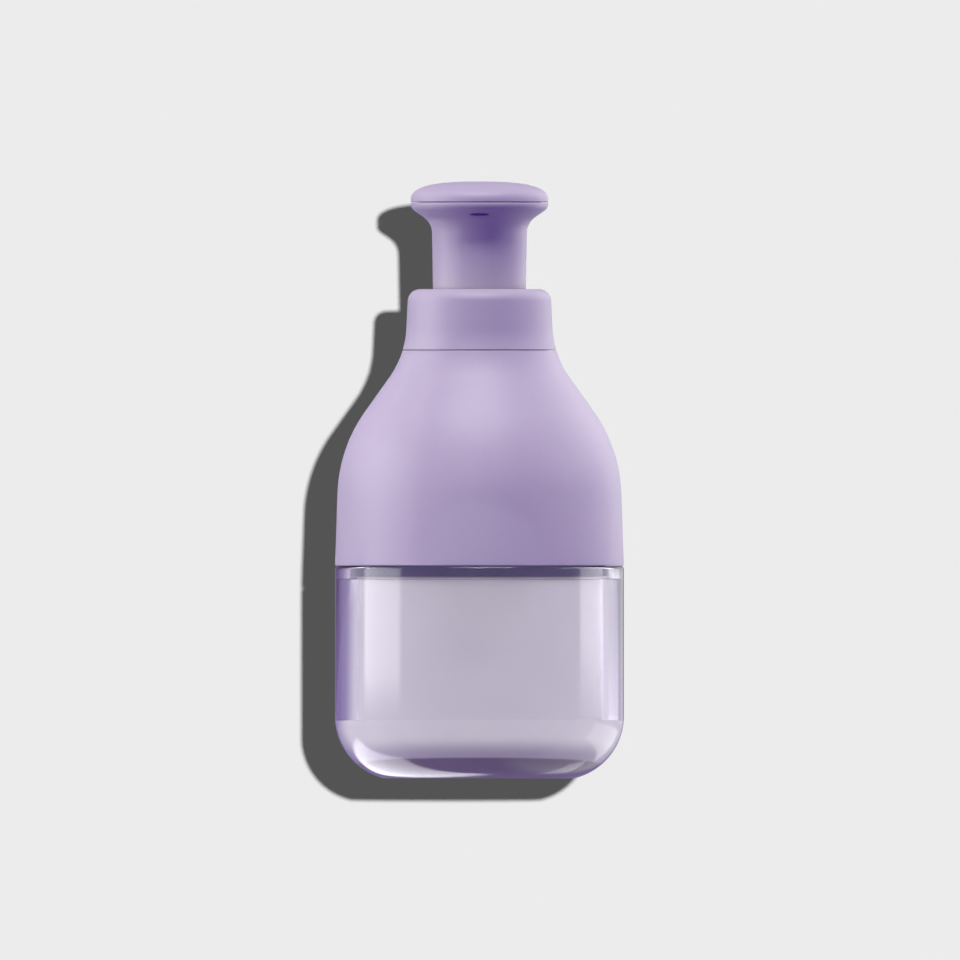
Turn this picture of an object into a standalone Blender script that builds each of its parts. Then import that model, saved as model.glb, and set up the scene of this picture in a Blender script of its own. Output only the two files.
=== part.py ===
# Soap pump bottle: a pale inner bottle in a thick clear jar, with a shoulder cover and a lotion pump.
# Metres, +Z up. The jar stands on z = 0, the common axis is x = y = 0 and the outlet slit faces -Y.
import math

import bmesh
import bpy
from mathutils import Vector

# Fits between the pieces
CLEARANCE = 0.0003
GUIDE_CLEARANCE = 0.0005
CUT_OVERRUN = 0.002
BLEND_OVERLAP = 0.0004

# Fineness of the turned shapes
ARC_ERROR = 0.0001
MOST_ARC_TURN = math.radians(30)
LARGE_SEGMENTS = 44
MEDIUM_SEGMENTS = 28
SMALL_SEGMENTS = 24
FINE_SEGMENTS = 16
SHARP_ANGLE = math.radians(35)

# Clear outer jar
JAR_RADIUS = 0.0361
JAR_HEIGHT = 0.05305
JAR_WALL = 0.0054
JAR_FLOOR = 0.0062
JAR_CORNER_RADIUS = 0.016
JAR_FOOT_RADIUS = 0.0237
JAR_INNER_CORNER = 0.004
JAR_RIM_RADIUS = 0.0007
MOUTH_WALL = 0.0035
MOUTH_DEPTH = 0.0033

# Shoulder cover and collar: one flowing outline, parted at the seam between them
SHOULDER_HEIGHT = 0.0536
SHOULDER_BULGE_INSET = 0.001
SHOULDER_BULGE_RISE = 0.0294
SHOULDER_BULGE_BEND = 0.0372
WAIST_RADIUS = 0.0186
WAIST_DROP = 0.0012
WAIST_BEND = 0.023
COVER_WALL = 0.002
COVER_SKIRT_WALL = 0.0015
COVER_LIP_DEPTH = 0.0028
COVER_SKIRT_RISE = 0.004
COLLAR_HEIGHT = 0.01505
COLLAR_TOP_RADIUS = 0.0178
COLLAR_EDGE_RADIUS = 0.0031
COLLAR_TOP_WALL = 0.002
COLLAR_BORE_EDGE = 0.0005
COLLAR_GUIDE_WALL = 0.0013
COLLAR_GUIDE_DEPTH = 0.005
COLLAR_SKIRT_WALL = 0.001
COLLAR_SKIRT_DROP = 0.012

# Inner bottle
BOTTLE_SIDE_GAP = 0.0005
BOTTLE_WALL = 0.0012
BOTTLE_CORNER_RADIUS = 0.0037
BOTTLE_PUSH_UP = 0.0012
BOTTLE_PUSH_UP_RADIUS = 0.021
BOTTLE_SIDE_HEIGHT = 0.0645
BOTTLE_SHOULDER_RISE = 0.0135
BOTTLE_SHOULDER_BEND = 0.012
NECK_RADIUS = 0.0128
NECK_WALL = 0.0018
NECK_ROOT_BEND = 0.003
NECK_BELOW_SEAM = 0.007
NECK_BEAD_RADIUS = 0.015
NECK_BEAD_HEIGHT = 0.0014
NECK_BEAD_DEPTH = 0.0135

# Closure and gasket
CLOSURE_WALL = 0.0022
CLOSURE_RIB_DEPTH = 0.0003
CLOSURE_TOP = 0.0015
CLOSURE_DEPTH = 0.0115
GASKET_THICKNESS = 0.001
GASKET_WIDTH = 0.0036

# Pump housing and ball valve
HOUSING_FLANGE_THICKNESS = 0.0015
HOUSING_BORE = 0.007
HOUSING_WALL = 0.0013
HOUSING_COLLAR_WALL = 0.0021
HOUSING_COLLAR_HEIGHT = 0.0039
HOUSING_BARREL_LENGTH = 0.0275
CHAMBER_RADIUS = 0.003
CHAMBER_WALL = 0.0014
CHAMBER_LENGTH = 0.007
SEAT_BORE = 0.0014
SEAT_BORE_LENGTH = 0.0012
BALL_RADIUS = 0.0024
BALL_STOP_WIDTH = 0.0008
BALL_STOP_HEIGHT = 0.0008
BALL_STOP_REACH = 0.0012
BALL_STOPS = 3
BALL_LIFT = 0.0015
TUBE_SOCKET_DEPTH = 0.009
VENT_RADIUS = 0.0006
VENT_DROP = 0.003

# Dip tube
TUBE_RADIUS = 0.0024
TUBE_WALL = 0.0007
TUBE_END_HEIGHT = 0.0015
TUBE_CUT_ANGLE = math.radians(40)

# Chaplet
CHAPLET_WALL = 0.0007
CHAPLET_TOP = 0.0012
CHAPLET_GUIDE_WALL = 0.0012
CHAPLET_GUIDE_DEPTH = 0.0062
CHAPLET_PLUG_WALL = 0.001
CHAPLET_PLUG_DEPTH = 0.0038

# Stem, piston and its seat
STEM_RADIUS = 0.0033
STEM_WALL = 0.0014
STEM_NECK_RADIUS = 0.0026
STEM_LENGTH = 0.0425
STEM_PORT_RADIUS = 0.0007
STEM_PORT_RISE = 0.0012
PISTON_LENGTH = 0.0065
PISTON_HUB_WALL = 0.0012
PISTON_LIP_WALL = 0.0008
PISTON_LIP_LENGTH = 0.006
PISTON_LIP_DROP = 0.0002
PISTON_LIP_TAPER = 0.0002
PISTON_WEB = 0.0012
PISTON_PLAY = 0.0008
SEAT_DISC_RADIUS = 0.0052
SEAT_DISC_THICKNESS = 0.0012
SEAT_CONE_HEIGHT = 0.0009
SEAT_PIN_LENGTH = 0.005
SEAT_FLUTE_RADIUS = 0.0005
SEAT_FLUTES = 4
SEAT_BOSS_DEPTH = 0.0012

# Return spring
SPRING_WIRE = 0.0008
SPRING_MEAN_RADIUS = 0.00445
SPRING_ACTIVE_TURNS = 5
SPRING_CLOSED_TURNS = 1
SPRING_COIL_GAP = 0.00045
SPRING_POINTS_PER_TURN = 10

# Pump head
HEAD_SEAM_RISE = 0.02165
RIM_RADIUS = 0.0172
RIM_DROP = 0.0014
RIM_BEND = 0.002
SLEEVE_TOP_RADIUS = 0.0119
SLEEVE_BOTTOM_RADIUS = 0.0115
SLEEVE_ROOT_DROP = 0.0051
SLEEVE_ROOT_BEND = 0.005
SLEEVE_IN_COLLAR = 0.0069
SLEEVE_WALL = 0.0012
HEAD_WALL = 0.0016
TRAY_FLOOR_DROP = 0.0049
WEB_THICKNESS = 0.0018
BOSS_WALL = 0.0016
BOSS_DEPTH = 0.009
CAP_HEIGHT = 0.00495
CAP_SQUARENESS = 2.7
CAP_POINTS = 9
CAP_PLUG_WALL = 0.001
CAP_PLUG_DEPTH = 0.0007
CAP_POST_RADIUS = 0.003

# Outlet
SLIT_WIDTH = 0.005
SLIT_HEIGHT = 0.0008
SLIT_DROP = 0.003
DUCT_HEIGHT = 0.0015
SPOUT_WIDTH = 0.007
SPOUT_BACK = 0.0042
SPOUT_HEIGHT = 0.0036
SPOUT_FRONT_STEPS = 6
SPIGOT_LENGTH = 0.002

# Heights, from the base upwards
SEAM_Z = JAR_HEIGHT + CLEARANCE
SHOULDER_TOP_Z = SEAM_Z + SHOULDER_HEIGHT
COLLAR_Z = SHOULDER_TOP_Z + CLEARANCE
COLLAR_TOP_Z = COLLAR_Z + COLLAR_HEIGHT
NECK_TOP_Z = SHOULDER_TOP_Z - NECK_BELOW_SEAM
GASKET_Z = NECK_TOP_Z + CLEARANCE
FLANGE_Z = GASKET_Z + GASKET_THICKNESS + CLEARANCE
FLANGE_TOP_Z = FLANGE_Z + HOUSING_FLANGE_THICKNESS
CLOSURE_PLATE_Z = FLANGE_TOP_Z + CLEARANCE
CLOSURE_TOP_Z = CLOSURE_PLATE_Z + CLOSURE_TOP
HOUSING_TOP_Z = FLANGE_TOP_Z + HOUSING_COLLAR_HEIGHT
CHAPLET_PLATE_Z = HOUSING_TOP_Z + CLEARANCE
CHAPLET_TOP_Z = CHAPLET_PLATE_Z + CHAPLET_TOP
CHAPLET_GUIDE_Z = CHAPLET_PLATE_Z - CHAPLET_GUIDE_DEPTH
PISTON_TOP_Z = CHAPLET_GUIDE_Z - CLEARANCE
PISTON_Z = PISTON_TOP_Z - PISTON_LENGTH
SEAT_CONE_TOP_Z = PISTON_Z - CLEARANCE
SEAT_DISC_TOP_Z = SEAT_CONE_TOP_Z - SEAT_CONE_HEIGHT
SEAT_DISC_Z = SEAT_DISC_TOP_Z - SEAT_DISC_THICKNESS
BARREL_FLOOR_Z = FLANGE_Z - HOUSING_BARREL_LENGTH
CHAMBER_Z = BARREL_FLOOR_Z - CHAMBER_LENGTH
SEAT_BORE_Z = CHAMBER_Z - (CHAMBER_RADIUS - SEAT_BORE)
SOCKET_TOP_Z = SEAT_BORE_Z - SEAT_BORE_LENGTH
HOUSING_Z = SOCKET_TOP_Z - TUBE_SOCKET_DEPTH
STEM_Z = SEAT_CONE_TOP_Z + CLEARANCE
STEM_TOP_Z = STEM_Z + STEM_LENGTH
STEM_STEP_Z = PISTON_TOP_Z + PISTON_PLAY
HEAD_SEAM_Z = COLLAR_TOP_Z + HEAD_SEAM_RISE
CAP_Z = HEAD_SEAM_Z + CLEARANCE
TRAY_FLOOR_Z = HEAD_SEAM_Z - TRAY_FLOOR_DROP
WEB_Z = TRAY_FLOOR_Z - WEB_THICKNESS
SLEEVE_Z = COLLAR_TOP_Z - SLEEVE_IN_COLLAR
SLIT_Z = HEAD_SEAM_Z - SLIT_DROP
SPOUT_Z = TRAY_FLOOR_Z + CLEARANCE
SPOUT_TOP_Z = SPOUT_Z + SPOUT_HEIGHT

# Radii that follow from a neighbour's
SHOULDER_BULGE_RADIUS = JAR_RADIUS - SHOULDER_BULGE_INSET
JAR_BORE = JAR_RADIUS - JAR_WALL
MOUTH_BORE = JAR_RADIUS - MOUTH_WALL
SKIRT_RADIUS = MOUTH_BORE - CLEARANCE
BOTTLE_RADIUS = JAR_BORE - BOTTLE_SIDE_GAP
NECK_BORE = NECK_RADIUS - NECK_WALL
CLOSURE_BORE = NECK_RADIUS + CLEARANCE
FLANGE_RADIUS = CLOSURE_BORE - GUIDE_CLEARANCE
CLOSURE_RADIUS = CLOSURE_BORE + CLOSURE_WALL + CLOSURE_RIB_DEPTH
COLLAR_INNER_RADIUS = CLOSURE_RADIUS + CLEARANCE
COLLAR_SKIRT_RADIUS = COLLAR_INNER_RADIUS + COLLAR_SKIRT_WALL
COVER_OPENING = COLLAR_SKIRT_RADIUS + CLEARANCE
HOUSING_COLLAR_RADIUS = HOUSING_BORE + HOUSING_COLLAR_WALL
CLOSURE_HOLE = HOUSING_COLLAR_RADIUS + CLEARANCE
CHAPLET_BORE = STEM_RADIUS + CLEARANCE
CHAPLET_SKIRT_BORE = HOUSING_COLLAR_RADIUS + CLEARANCE
CHAPLET_PLUG_RADIUS = HOUSING_BORE - CLEARANCE
SLEEVE_BORE = SLEEVE_BOTTOM_RADIUS - SLEEVE_WALL
COLLAR_BORE = SLEEVE_TOP_RADIUS + CLEARANCE
STEM_BORE = STEM_RADIUS - STEM_WALL
TUBE_SOCKET_RADIUS = TUBE_RADIUS + CLEARANCE
PISTON_BORE = STEM_NECK_RADIUS + CLEARANCE
PISTON_RADIUS = HOUSING_BORE - CLEARANCE
RIM_INNER_RADIUS = RIM_RADIUS - HEAD_WALL
CAP_PLUG_RADIUS = RIM_INNER_RADIUS - CLEARANCE


def rounded(corners):
    """The outline through corners (radius, height, bend), each corner rounded by its bend."""
    points = [Vector(corners[0][:2])]
    for before, corner, after in zip(corners, corners[1:], corners[2:]):
        here = Vector(corner[:2])
        bend = corner[2]
        if bend == 0:
            points.append(here)
            continue
        back = (Vector(before[:2]) - here).normalized()
        ahead = (Vector(after[:2]) - here).normalized()
        turn = math.pi - back.angle(ahead)
        centre = here + (back + ahead).normalized() * bend / math.cos(turn / 2)
        start = here + back * bend * math.tan(turn / 2) - centre
        sweep = start.angle_signed(here + ahead * bend * math.tan(turn / 2) - centre)
        points += [centre + offset for offset in arc_offsets(start, sweep)]
    points.append(Vector(corners[-1][:2]))
    return points


def arc_offsets(start, sweep):
    """The points of an arc about its centre, close enough together to stay within ARC_ERROR of it."""
    fine_turn = 2 * math.acos(1 - min(1, ARC_ERROR / start.length))
    steps = max(1, math.ceil(abs(sweep) / min(fine_turn, MOST_ARC_TURN)))
    first = math.atan2(start.y, start.x)
    angles = [first - sweep * step / steps for step in range(steps + 1)]
    return [Vector((math.cos(angle), math.sin(angle))) * start.length for angle in angles]


def between(points, low, high):
    """The stretch of a rising outline from height low to height high."""
    inside = [point for point in points if low < point.y < high]
    return [at_height(points, low), *inside, at_height(points, high)]


def at_height(points, height):
    """The point of a rising outline at this height."""
    for first, second in zip(points, points[1:]):
        if first.y < height <= second.y:
            return first.lerp(second, (height - first.y) / (second.y - first.y))
    nearest = min(points, key=lambda point: abs(point.y - height))
    return Vector((nearest.x, height))


def offset(points, distance):
    """The outline moved sideways by this distance, to the left of its direction, with mitred corners."""
    sides = [(second - first).orthogonal().normalized() for first, second in zip(points, points[1:])]
    before = [sides[0], *sides]
    after = [*sides, sides[-1]]
    return [point + (a + b) * distance / (1 + a.dot(b)) for point, a, b in zip(points, before, after)]


def turned(name, outline, segments, material):
    """A solid of revolution. The outline is a closed ring, or runs from the axis back to the axis."""
    mesh = bmesh.new()
    points = [mesh.verts.new((point[0], 0, point[1])) for point in outline]
    open_outline = outline[0][0] == 0 and outline[-1][0] == 0
    ends = points[1:] if open_outline else points[1:] + points[:1]
    edges = [mesh.edges.new(pair) for pair in zip(points, ends)]
    bmesh.ops.spin(
        mesh,
        geom=points + edges,
        cent=(0, 0, 0),
        axis=(0, 0, 1),
        angle=math.tau,
        steps=segments,
        use_merge=True,
    )
    bmesh.ops.remove_doubles(mesh, verts=mesh.verts, dist=ARC_ERROR / 10)
    return finished(name, mesh, material)


def finished(name, mesh, material):
    """The object made from a bmesh, with outward faces and smooth shading between its sharp edges."""
    bmesh.ops.recalc_face_normals(mesh, faces=mesh.faces)
    mesh.normal_update()
    if mesh.calc_volume(signed=True) < 0:
        bmesh.ops.reverse_faces(mesh, faces=mesh.faces)
    data = bpy.data.meshes.new(name)
    mesh.to_mesh(data)
    mesh.free()
    data.shade_smooth()
    data.set_sharp_from_angle(angle=SHARP_ANGLE)
    data.materials.append(material)
    piece = bpy.data.objects.new(name, data)
    bpy.context.scene.collection.objects.link(piece)
    return piece


def cylinder(name, radius, low, high, segments, material):
    """A plain cylinder on the axis."""
    return turned(name, [(0, low), (radius, low), (radius, high), (0, high)], segments, material)


def boolean(piece, tool, operation):
    """Cuts, joins or trims the piece with a helper, which is then kept out of the model."""
    modifier = piece.modifiers.new(operation.title(), "BOOLEAN")
    modifier.operation = operation
    modifier.solver = "EXACT"
    modifier.object = tool
    tool.hide_render = True
    tool.display_type = "WIRE"


def material(name, colour, roughness, metallic=0.0, alpha=1.0):
    """A Principled material."""
    made = bpy.data.materials.new(name)
    made.use_nodes = True
    shader = made.node_tree.nodes["Principled BSDF"]
    shader.inputs["Base Color"].default_value = (*colour, 1)
    shader.inputs["Roughness"].default_value = roughness
    shader.inputs["Metallic"].default_value = metallic
    shader.inputs["Alpha"].default_value = alpha
    made.diffuse_color = (*colour, alpha)
    return made


def shell_outline():
    """The outside of the shoulder cover and the collar in one sweep, up to the collar's bore."""
    return rounded([
        (JAR_RADIUS, SEAM_Z, 0),
        (SHOULDER_BULGE_RADIUS, SEAM_Z + SHOULDER_BULGE_RISE, SHOULDER_BULGE_BEND),
        (WAIST_RADIUS, SHOULDER_TOP_Z - WAIST_DROP, WAIST_BEND),
        (COLLAR_TOP_RADIUS, COLLAR_TOP_Z, COLLAR_EDGE_RADIUS),
        (COLLAR_BORE + COLLAR_BORE_EDGE, COLLAR_TOP_Z, 0),
    ])


def jar(clear):
    """Thick jar: rounded heavy base, plain bore, and a stepped mouth for the skirt of the cover."""
    corner_reach = JAR_FOOT_RADIUS - (JAR_RADIUS - JAR_CORNER_RADIUS)
    corner_height = math.sqrt(JAR_CORNER_RADIUS**2 - corner_reach**2)
    start = Vector((corner_reach, -corner_height))
    centre = Vector((JAR_RADIUS - JAR_CORNER_RADIUS, corner_height))
    sweep = start.angle_signed(Vector((1, 0)))
    corner = [centre + step for step in arc_offsets(start, sweep)]
    inside = rounded([
        (JAR_RADIUS, corner_height, 0),
        (JAR_RADIUS, JAR_HEIGHT, JAR_RIM_RADIUS),
        (MOUTH_BORE, JAR_HEIGHT, 0),
        (MOUTH_BORE, JAR_HEIGHT - MOUTH_DEPTH, 0),
        (JAR_BORE, JAR_HEIGHT - MOUTH_DEPTH, 0),
        (JAR_BORE, JAR_FLOOR, JAR_INNER_CORNER),
        (0, JAR_FLOOR, 0),
    ])
    return turned("jar", [Vector((0, 0)), *corner, *inside[1:]], LARGE_SEGMENTS, clear)


def inner_bottle(pale):
    """Blown bottle with a pushed-up base, round shoulders and a beaded neck."""
    base = JAR_FLOOR + CLEARANCE
    neck_root = BOTTLE_SIDE_HEIGHT + BOTTLE_SHOULDER_RISE
    bead = NECK_TOP_Z - NECK_BEAD_DEPTH
    outside = rounded([
        (0, base + BOTTLE_PUSH_UP, 0),
        (BOTTLE_PUSH_UP_RADIUS, base + BOTTLE_PUSH_UP, 0),
        (BOTTLE_PUSH_UP_RADIUS + BOTTLE_PUSH_UP, base, 0),
        (BOTTLE_RADIUS, base, BOTTLE_CORNER_RADIUS),
        (BOTTLE_RADIUS, BOTTLE_SIDE_HEIGHT, BOTTLE_SHOULDER_BEND),
        (NECK_RADIUS, neck_root, NECK_ROOT_BEND),
        (NECK_RADIUS, bead, 0),
        (NECK_BEAD_RADIUS, bead, 0),
        (NECK_BEAD_RADIUS, bead + NECK_BEAD_HEIGHT, 0),
        (NECK_RADIUS, bead + NECK_BEAD_HEIGHT, 0),
        (NECK_RADIUS, NECK_TOP_Z, 0),
    ])
    floor = base + BOTTLE_PUSH_UP + BOTTLE_WALL
    inside = rounded([
        (NECK_BORE, NECK_TOP_Z, 0),
        (NECK_BORE, neck_root, NECK_ROOT_BEND + NECK_WALL),
        (BOTTLE_RADIUS - BOTTLE_WALL, BOTTLE_SIDE_HEIGHT, BOTTLE_SHOULDER_BEND - BOTTLE_WALL),
        (BOTTLE_RADIUS - BOTTLE_WALL, floor, BOTTLE_CORNER_RADIUS - BOTTLE_WALL),
        (0, floor, 0),
    ])
    return turned("inner_bottle", outside + inside, MEDIUM_SEGMENTS, pale)


def shoulder_cover(matte):
    """Moulded shell that follows its outside, with a skirt below and a lip round the collar's skirt."""
    outside = between(shell_outline(), SEAM_Z, SHOULDER_TOP_Z)
    skirt_end = JAR_HEIGHT - MOUTH_DEPTH + CLEARANCE
    skirt_bore = SKIRT_RADIUS - COVER_SKIRT_WALL
    lip_end = SHOULDER_TOP_Z - COVER_LIP_DEPTH
    lining = between(offset(outside, COVER_WALL), SEAM_Z + COVER_SKIRT_RISE, lip_end)
    lining = [point for point in lining if point.x > COVER_OPENING]
    inside = [
        (COVER_OPENING, SHOULDER_TOP_Z),
        (COVER_OPENING, lip_end),
        *reversed(lining),
        (skirt_bore, SEAM_Z + COVER_SKIRT_RISE - COVER_WALL),
        (skirt_bore, skirt_end),
        (SKIRT_RADIUS, skirt_end),
        (SKIRT_RADIUS, SEAM_Z),
    ]
    return turned("shoulder_cover", [*outside, *inside], LARGE_SEGMENTS, matte)


def collar(matte):
    """Collar shell with a guide for the sleeve above and a skirt that grips the closure below."""
    outline = shell_outline()
    outside = [point for point in outline if point.y > COLLAR_Z]
    skirt_end = COLLAR_Z - COLLAR_SKIRT_DROP
    guide_end = COLLAR_TOP_Z - COLLAR_GUIDE_DEPTH
    guide_radius = COLLAR_BORE + COLLAR_GUIDE_WALL
    inside = [
        (COLLAR_BORE, COLLAR_TOP_Z - COLLAR_BORE_EDGE),
        (COLLAR_BORE, guide_end),
        (guide_radius, guide_end),
        (guide_radius, COLLAR_TOP_Z - COLLAR_TOP_WALL),
        (COLLAR_INNER_RADIUS, COLLAR_TOP_Z - COLLAR_TOP_WALL),
        (COLLAR_INNER_RADIUS, skirt_end),
        (COLLAR_SKIRT_RADIUS, skirt_end),
        (COLLAR_SKIRT_RADIUS, COLLAR_Z),
    ]
    return turned("collar", [at_height(outline, COLLAR_Z), *outside, *inside], LARGE_SEGMENTS, matte)


def closure(plastic):
    """Threaded cap, plain inside, whose fluted side is gripped by the collar."""
    low = CLOSURE_TOP_Z - CLOSURE_DEPTH - CLOSURE_TOP
    root = CLOSURE_RADIUS - CLOSURE_RIB_DEPTH
    piece = turned(
        "closure",
        [
            (CLOSURE_RADIUS, low),
            (CLOSURE_RADIUS, CLOSURE_TOP_Z - CLOSURE_RIB_DEPTH),
            (root, CLOSURE_TOP_Z),
            (CLOSURE_HOLE, CLOSURE_TOP_Z),
            (CLOSURE_HOLE, CLOSURE_PLATE_Z),
            (CLOSURE_BORE, CLOSURE_PLATE_Z),
            (CLOSURE_BORE, low),
        ],
        LARGE_SEGMENTS,
        plastic,
    )
    for vertex in piece.data.vertices:
        angle = math.atan2(vertex.co.y, vertex.co.x)
        step = round(angle / math.tau * LARGE_SEGMENTS)
        if math.hypot(vertex.co.x, vertex.co.y) > root + CLOSURE_RIB_DEPTH / 2 and step % 2:
            vertex.co.x *= root / CLOSURE_RADIUS
            vertex.co.y *= root / CLOSURE_RADIUS
    return piece


def neck_gasket(foam):
    """Flat foam ring between the flange and the neck."""
    low = GASKET_Z
    high = GASKET_Z + GASKET_THICKNESS
    inner = FLANGE_RADIUS - GASKET_WIDTH
    outline = [(FLANGE_RADIUS, low), (FLANGE_RADIUS, high), (inner, high), (inner, low)]
    return turned("neck_gasket", outline, SMALL_SEGMENTS, foam)


def pump_housing(pale):
    """Pump cylinder: collar, flange, barrel, ball chamber with a conical seat, socket for the tube."""
    barrel = HOUSING_BORE + HOUSING_WALL
    chamber = CHAMBER_RADIUS + CHAMBER_WALL
    piece = turned(
        "pump_housing",
        [
            (chamber, HOUSING_Z),
            (chamber, BARREL_FLOOR_Z - HOUSING_WALL - HOUSING_WALL),
            (barrel, BARREL_FLOOR_Z - HOUSING_WALL),
            (barrel, FLANGE_Z),
            (FLANGE_RADIUS, FLANGE_Z),
            (FLANGE_RADIUS, FLANGE_TOP_Z),
            (HOUSING_COLLAR_RADIUS, FLANGE_TOP_Z),
            (HOUSING_COLLAR_RADIUS, HOUSING_TOP_Z),
            (HOUSING_BORE, HOUSING_TOP_Z),
            (HOUSING_BORE, BARREL_FLOOR_Z),
            (CHAMBER_RADIUS, BARREL_FLOOR_Z),
            (CHAMBER_RADIUS, CHAMBER_Z),
            (SEAT_BORE, SEAT_BORE_Z),
            (SEAT_BORE, SOCKET_TOP_Z),
            (TUBE_SOCKET_RADIUS, SOCKET_TOP_Z),
            (TUBE_SOCKET_RADIUS, HOUSING_Z),
        ],
        SMALL_SEGMENTS,
        pale,
    )
    for stop in range(BALL_STOPS):
        boolean(piece, ball_stop(stop, pale), "UNION")
    near = HOUSING_BORE - CUT_OVERRUN
    vent = sideways_cylinder("vent_cutter", VENT_RADIUS, near, barrel + CUT_OVERRUN, pale)
    vent.location.z = FLANGE_Z - VENT_DROP
    boolean(piece, vent, "DIFFERENCE")
    return piece


def ball_stop(index, pale):
    """A small inward rib over the ball, which it can't pass."""
    mesh = bmesh.new()
    bmesh.ops.create_cube(mesh, size=1)
    near = CHAMBER_RADIUS - BALL_STOP_REACH
    far = CHAMBER_RADIUS + BLEND_OVERLAP
    for vertex in mesh.verts:
        vertex.co.x = near if vertex.co.x < 0 else far
        vertex.co.y *= BALL_STOP_WIDTH
        vertex.co.z = ball_stop_height() + (vertex.co.z > 0) * BALL_STOP_HEIGHT
    rib = finished(f"ball_stop_{index}", mesh, pale)
    rib.rotation_euler.z = math.tau * index / BALL_STOPS
    return rib


def ball_centre_height():
    """The centre of the ball on its 45 degree seat, kept clear of it."""
    return CHAMBER_Z - CHAMBER_RADIUS + (BALL_RADIUS + CLEARANCE) * math.sqrt(2)


def ball_stop_height():
    """The underside of the ribs, which the lifted ball just misses."""
    reach = CHAMBER_RADIUS - BALL_STOP_REACH
    above_centre = math.sqrt((BALL_RADIUS + CLEARANCE) ** 2 - reach**2)
    return ball_centre_height() + BALL_LIFT + above_centre


def inlet_ball(steel):
    """Ball of the inlet valve."""
    mesh = bmesh.new()
    bmesh.ops.create_icosphere(mesh, subdivisions=2, radius=BALL_RADIUS)
    bmesh.ops.translate(mesh, verts=mesh.verts, vec=(0, 0, ball_centre_height()))
    return finished("inlet_ball", mesh, steel)


def sideways_cylinder(name, radius, near, far, material):
    """A cylinder along X, between two distances from the axis."""
    piece = cylinder(name, radius, near, far, FINE_SEGMENTS, material)
    piece.rotation_euler.y = math.pi / 2
    return piece


def dip_tube(pale):
    """Suction tube, cut at a slant at its lower end so that it can't seal on the floor."""
    floor = JAR_FLOOR + CLEARANCE + BOTTLE_PUSH_UP + BOTTLE_WALL
    low = floor + TUBE_END_HEIGHT
    high = SOCKET_TOP_Z - CLEARANCE
    bore = TUBE_RADIUS - TUBE_WALL
    outline = [(TUBE_RADIUS, low), (TUBE_RADIUS, high), (bore, high), (bore, low)]
    piece = turned("dip_tube", outline, FINE_SEGMENTS, pale)
    for vertex in piece.data.vertices:
        if vertex.co.z < (low + high) / 2:
            vertex.co.z += (vertex.co.x + TUBE_RADIUS) * math.tan(TUBE_CUT_ANGLE)
    return piece


def chaplet(plastic):
    """Snap ring: skirt round the housing's collar, plug in its bore, and a long guide for the stem."""
    skirt = CHAPLET_SKIRT_BORE + CHAPLET_WALL
    guide = CHAPLET_BORE + CHAPLET_GUIDE_WALL
    plug_bore = CHAPLET_PLUG_RADIUS - CHAPLET_PLUG_WALL
    plug_end = CHAPLET_PLATE_Z - CHAPLET_PLUG_DEPTH
    skirt_end = CLOSURE_TOP_Z + CLEARANCE
    outline = [
        (skirt, skirt_end),
        (skirt, CHAPLET_TOP_Z - CHAPLET_WALL),
        (skirt - CHAPLET_WALL, CHAPLET_TOP_Z),
        (CHAPLET_BORE, CHAPLET_TOP_Z),
        (CHAPLET_BORE, CHAPLET_GUIDE_Z),
        (guide, CHAPLET_GUIDE_Z),
        (guide, CHAPLET_PLATE_Z),
        (plug_bore, CHAPLET_PLATE_Z),
        (plug_bore, plug_end),
        (CHAPLET_PLUG_RADIUS, plug_end),
        (CHAPLET_PLUG_RADIUS, CHAPLET_PLATE_Z),
        (CHAPLET_SKIRT_BORE, CHAPLET_PLATE_Z),
        (CHAPLET_SKIRT_BORE, skirt_end),
    ]
    return turned("chaplet", outline, SMALL_SEGMENTS, plastic)


def stem(plastic):
    """Hollow stem, thinner where the piston rides, with cross ports just over the valve tip."""
    outline = [
        (STEM_NECK_RADIUS, STEM_Z),
        (STEM_NECK_RADIUS, STEM_STEP_Z),
        (STEM_RADIUS, STEM_STEP_Z),
        (STEM_RADIUS, STEM_TOP_Z),
        (STEM_BORE, STEM_TOP_Z),
        (STEM_BORE, STEM_Z),
    ]
    piece = turned("stem", outline, FINE_SEGMENTS, plastic)
    reach = STEM_RADIUS + CUT_OVERRUN
    port = sideways_cylinder("port_cutter", STEM_PORT_RADIUS, -reach, reach, plastic)
    port.location.z = STEM_Z + STEM_PORT_RISE
    boolean(piece, port, "DIFFERENCE")
    return piece


def piston(plastic):
    """Piston ring: hub on the stem, web, and a lip above and below that wipes the bore."""
    hub = PISTON_BORE + PISTON_HUB_WALL
    lip = PISTON_RADIUS - PISTON_LIP_WALL
    lip_top = PISTON_TOP_Z - PISTON_LIP_DROP
    lip_low = lip_top - PISTON_LIP_LENGTH
    web_top = (lip_top + lip_low) / 2 + PISTON_WEB / 2
    web_low = web_top - PISTON_WEB
    waist = PISTON_RADIUS - PISTON_LIP_TAPER
    outline = [
        (PISTON_RADIUS, lip_low),
        (waist, web_low),
        (waist, web_top),
        (PISTON_RADIUS, lip_top),
        (lip, lip_top),
        (lip, web_top),
        (hub, web_top),
        (hub, PISTON_TOP_Z),
        (PISTON_BORE, PISTON_TOP_Z),
        (PISTON_BORE, PISTON_Z),
        (hub, PISTON_Z),
        (hub, web_low),
        (lip, web_low),
        (lip, lip_low),
    ]
    return turned("piston", outline, SMALL_SEGMENTS, plastic)


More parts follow.
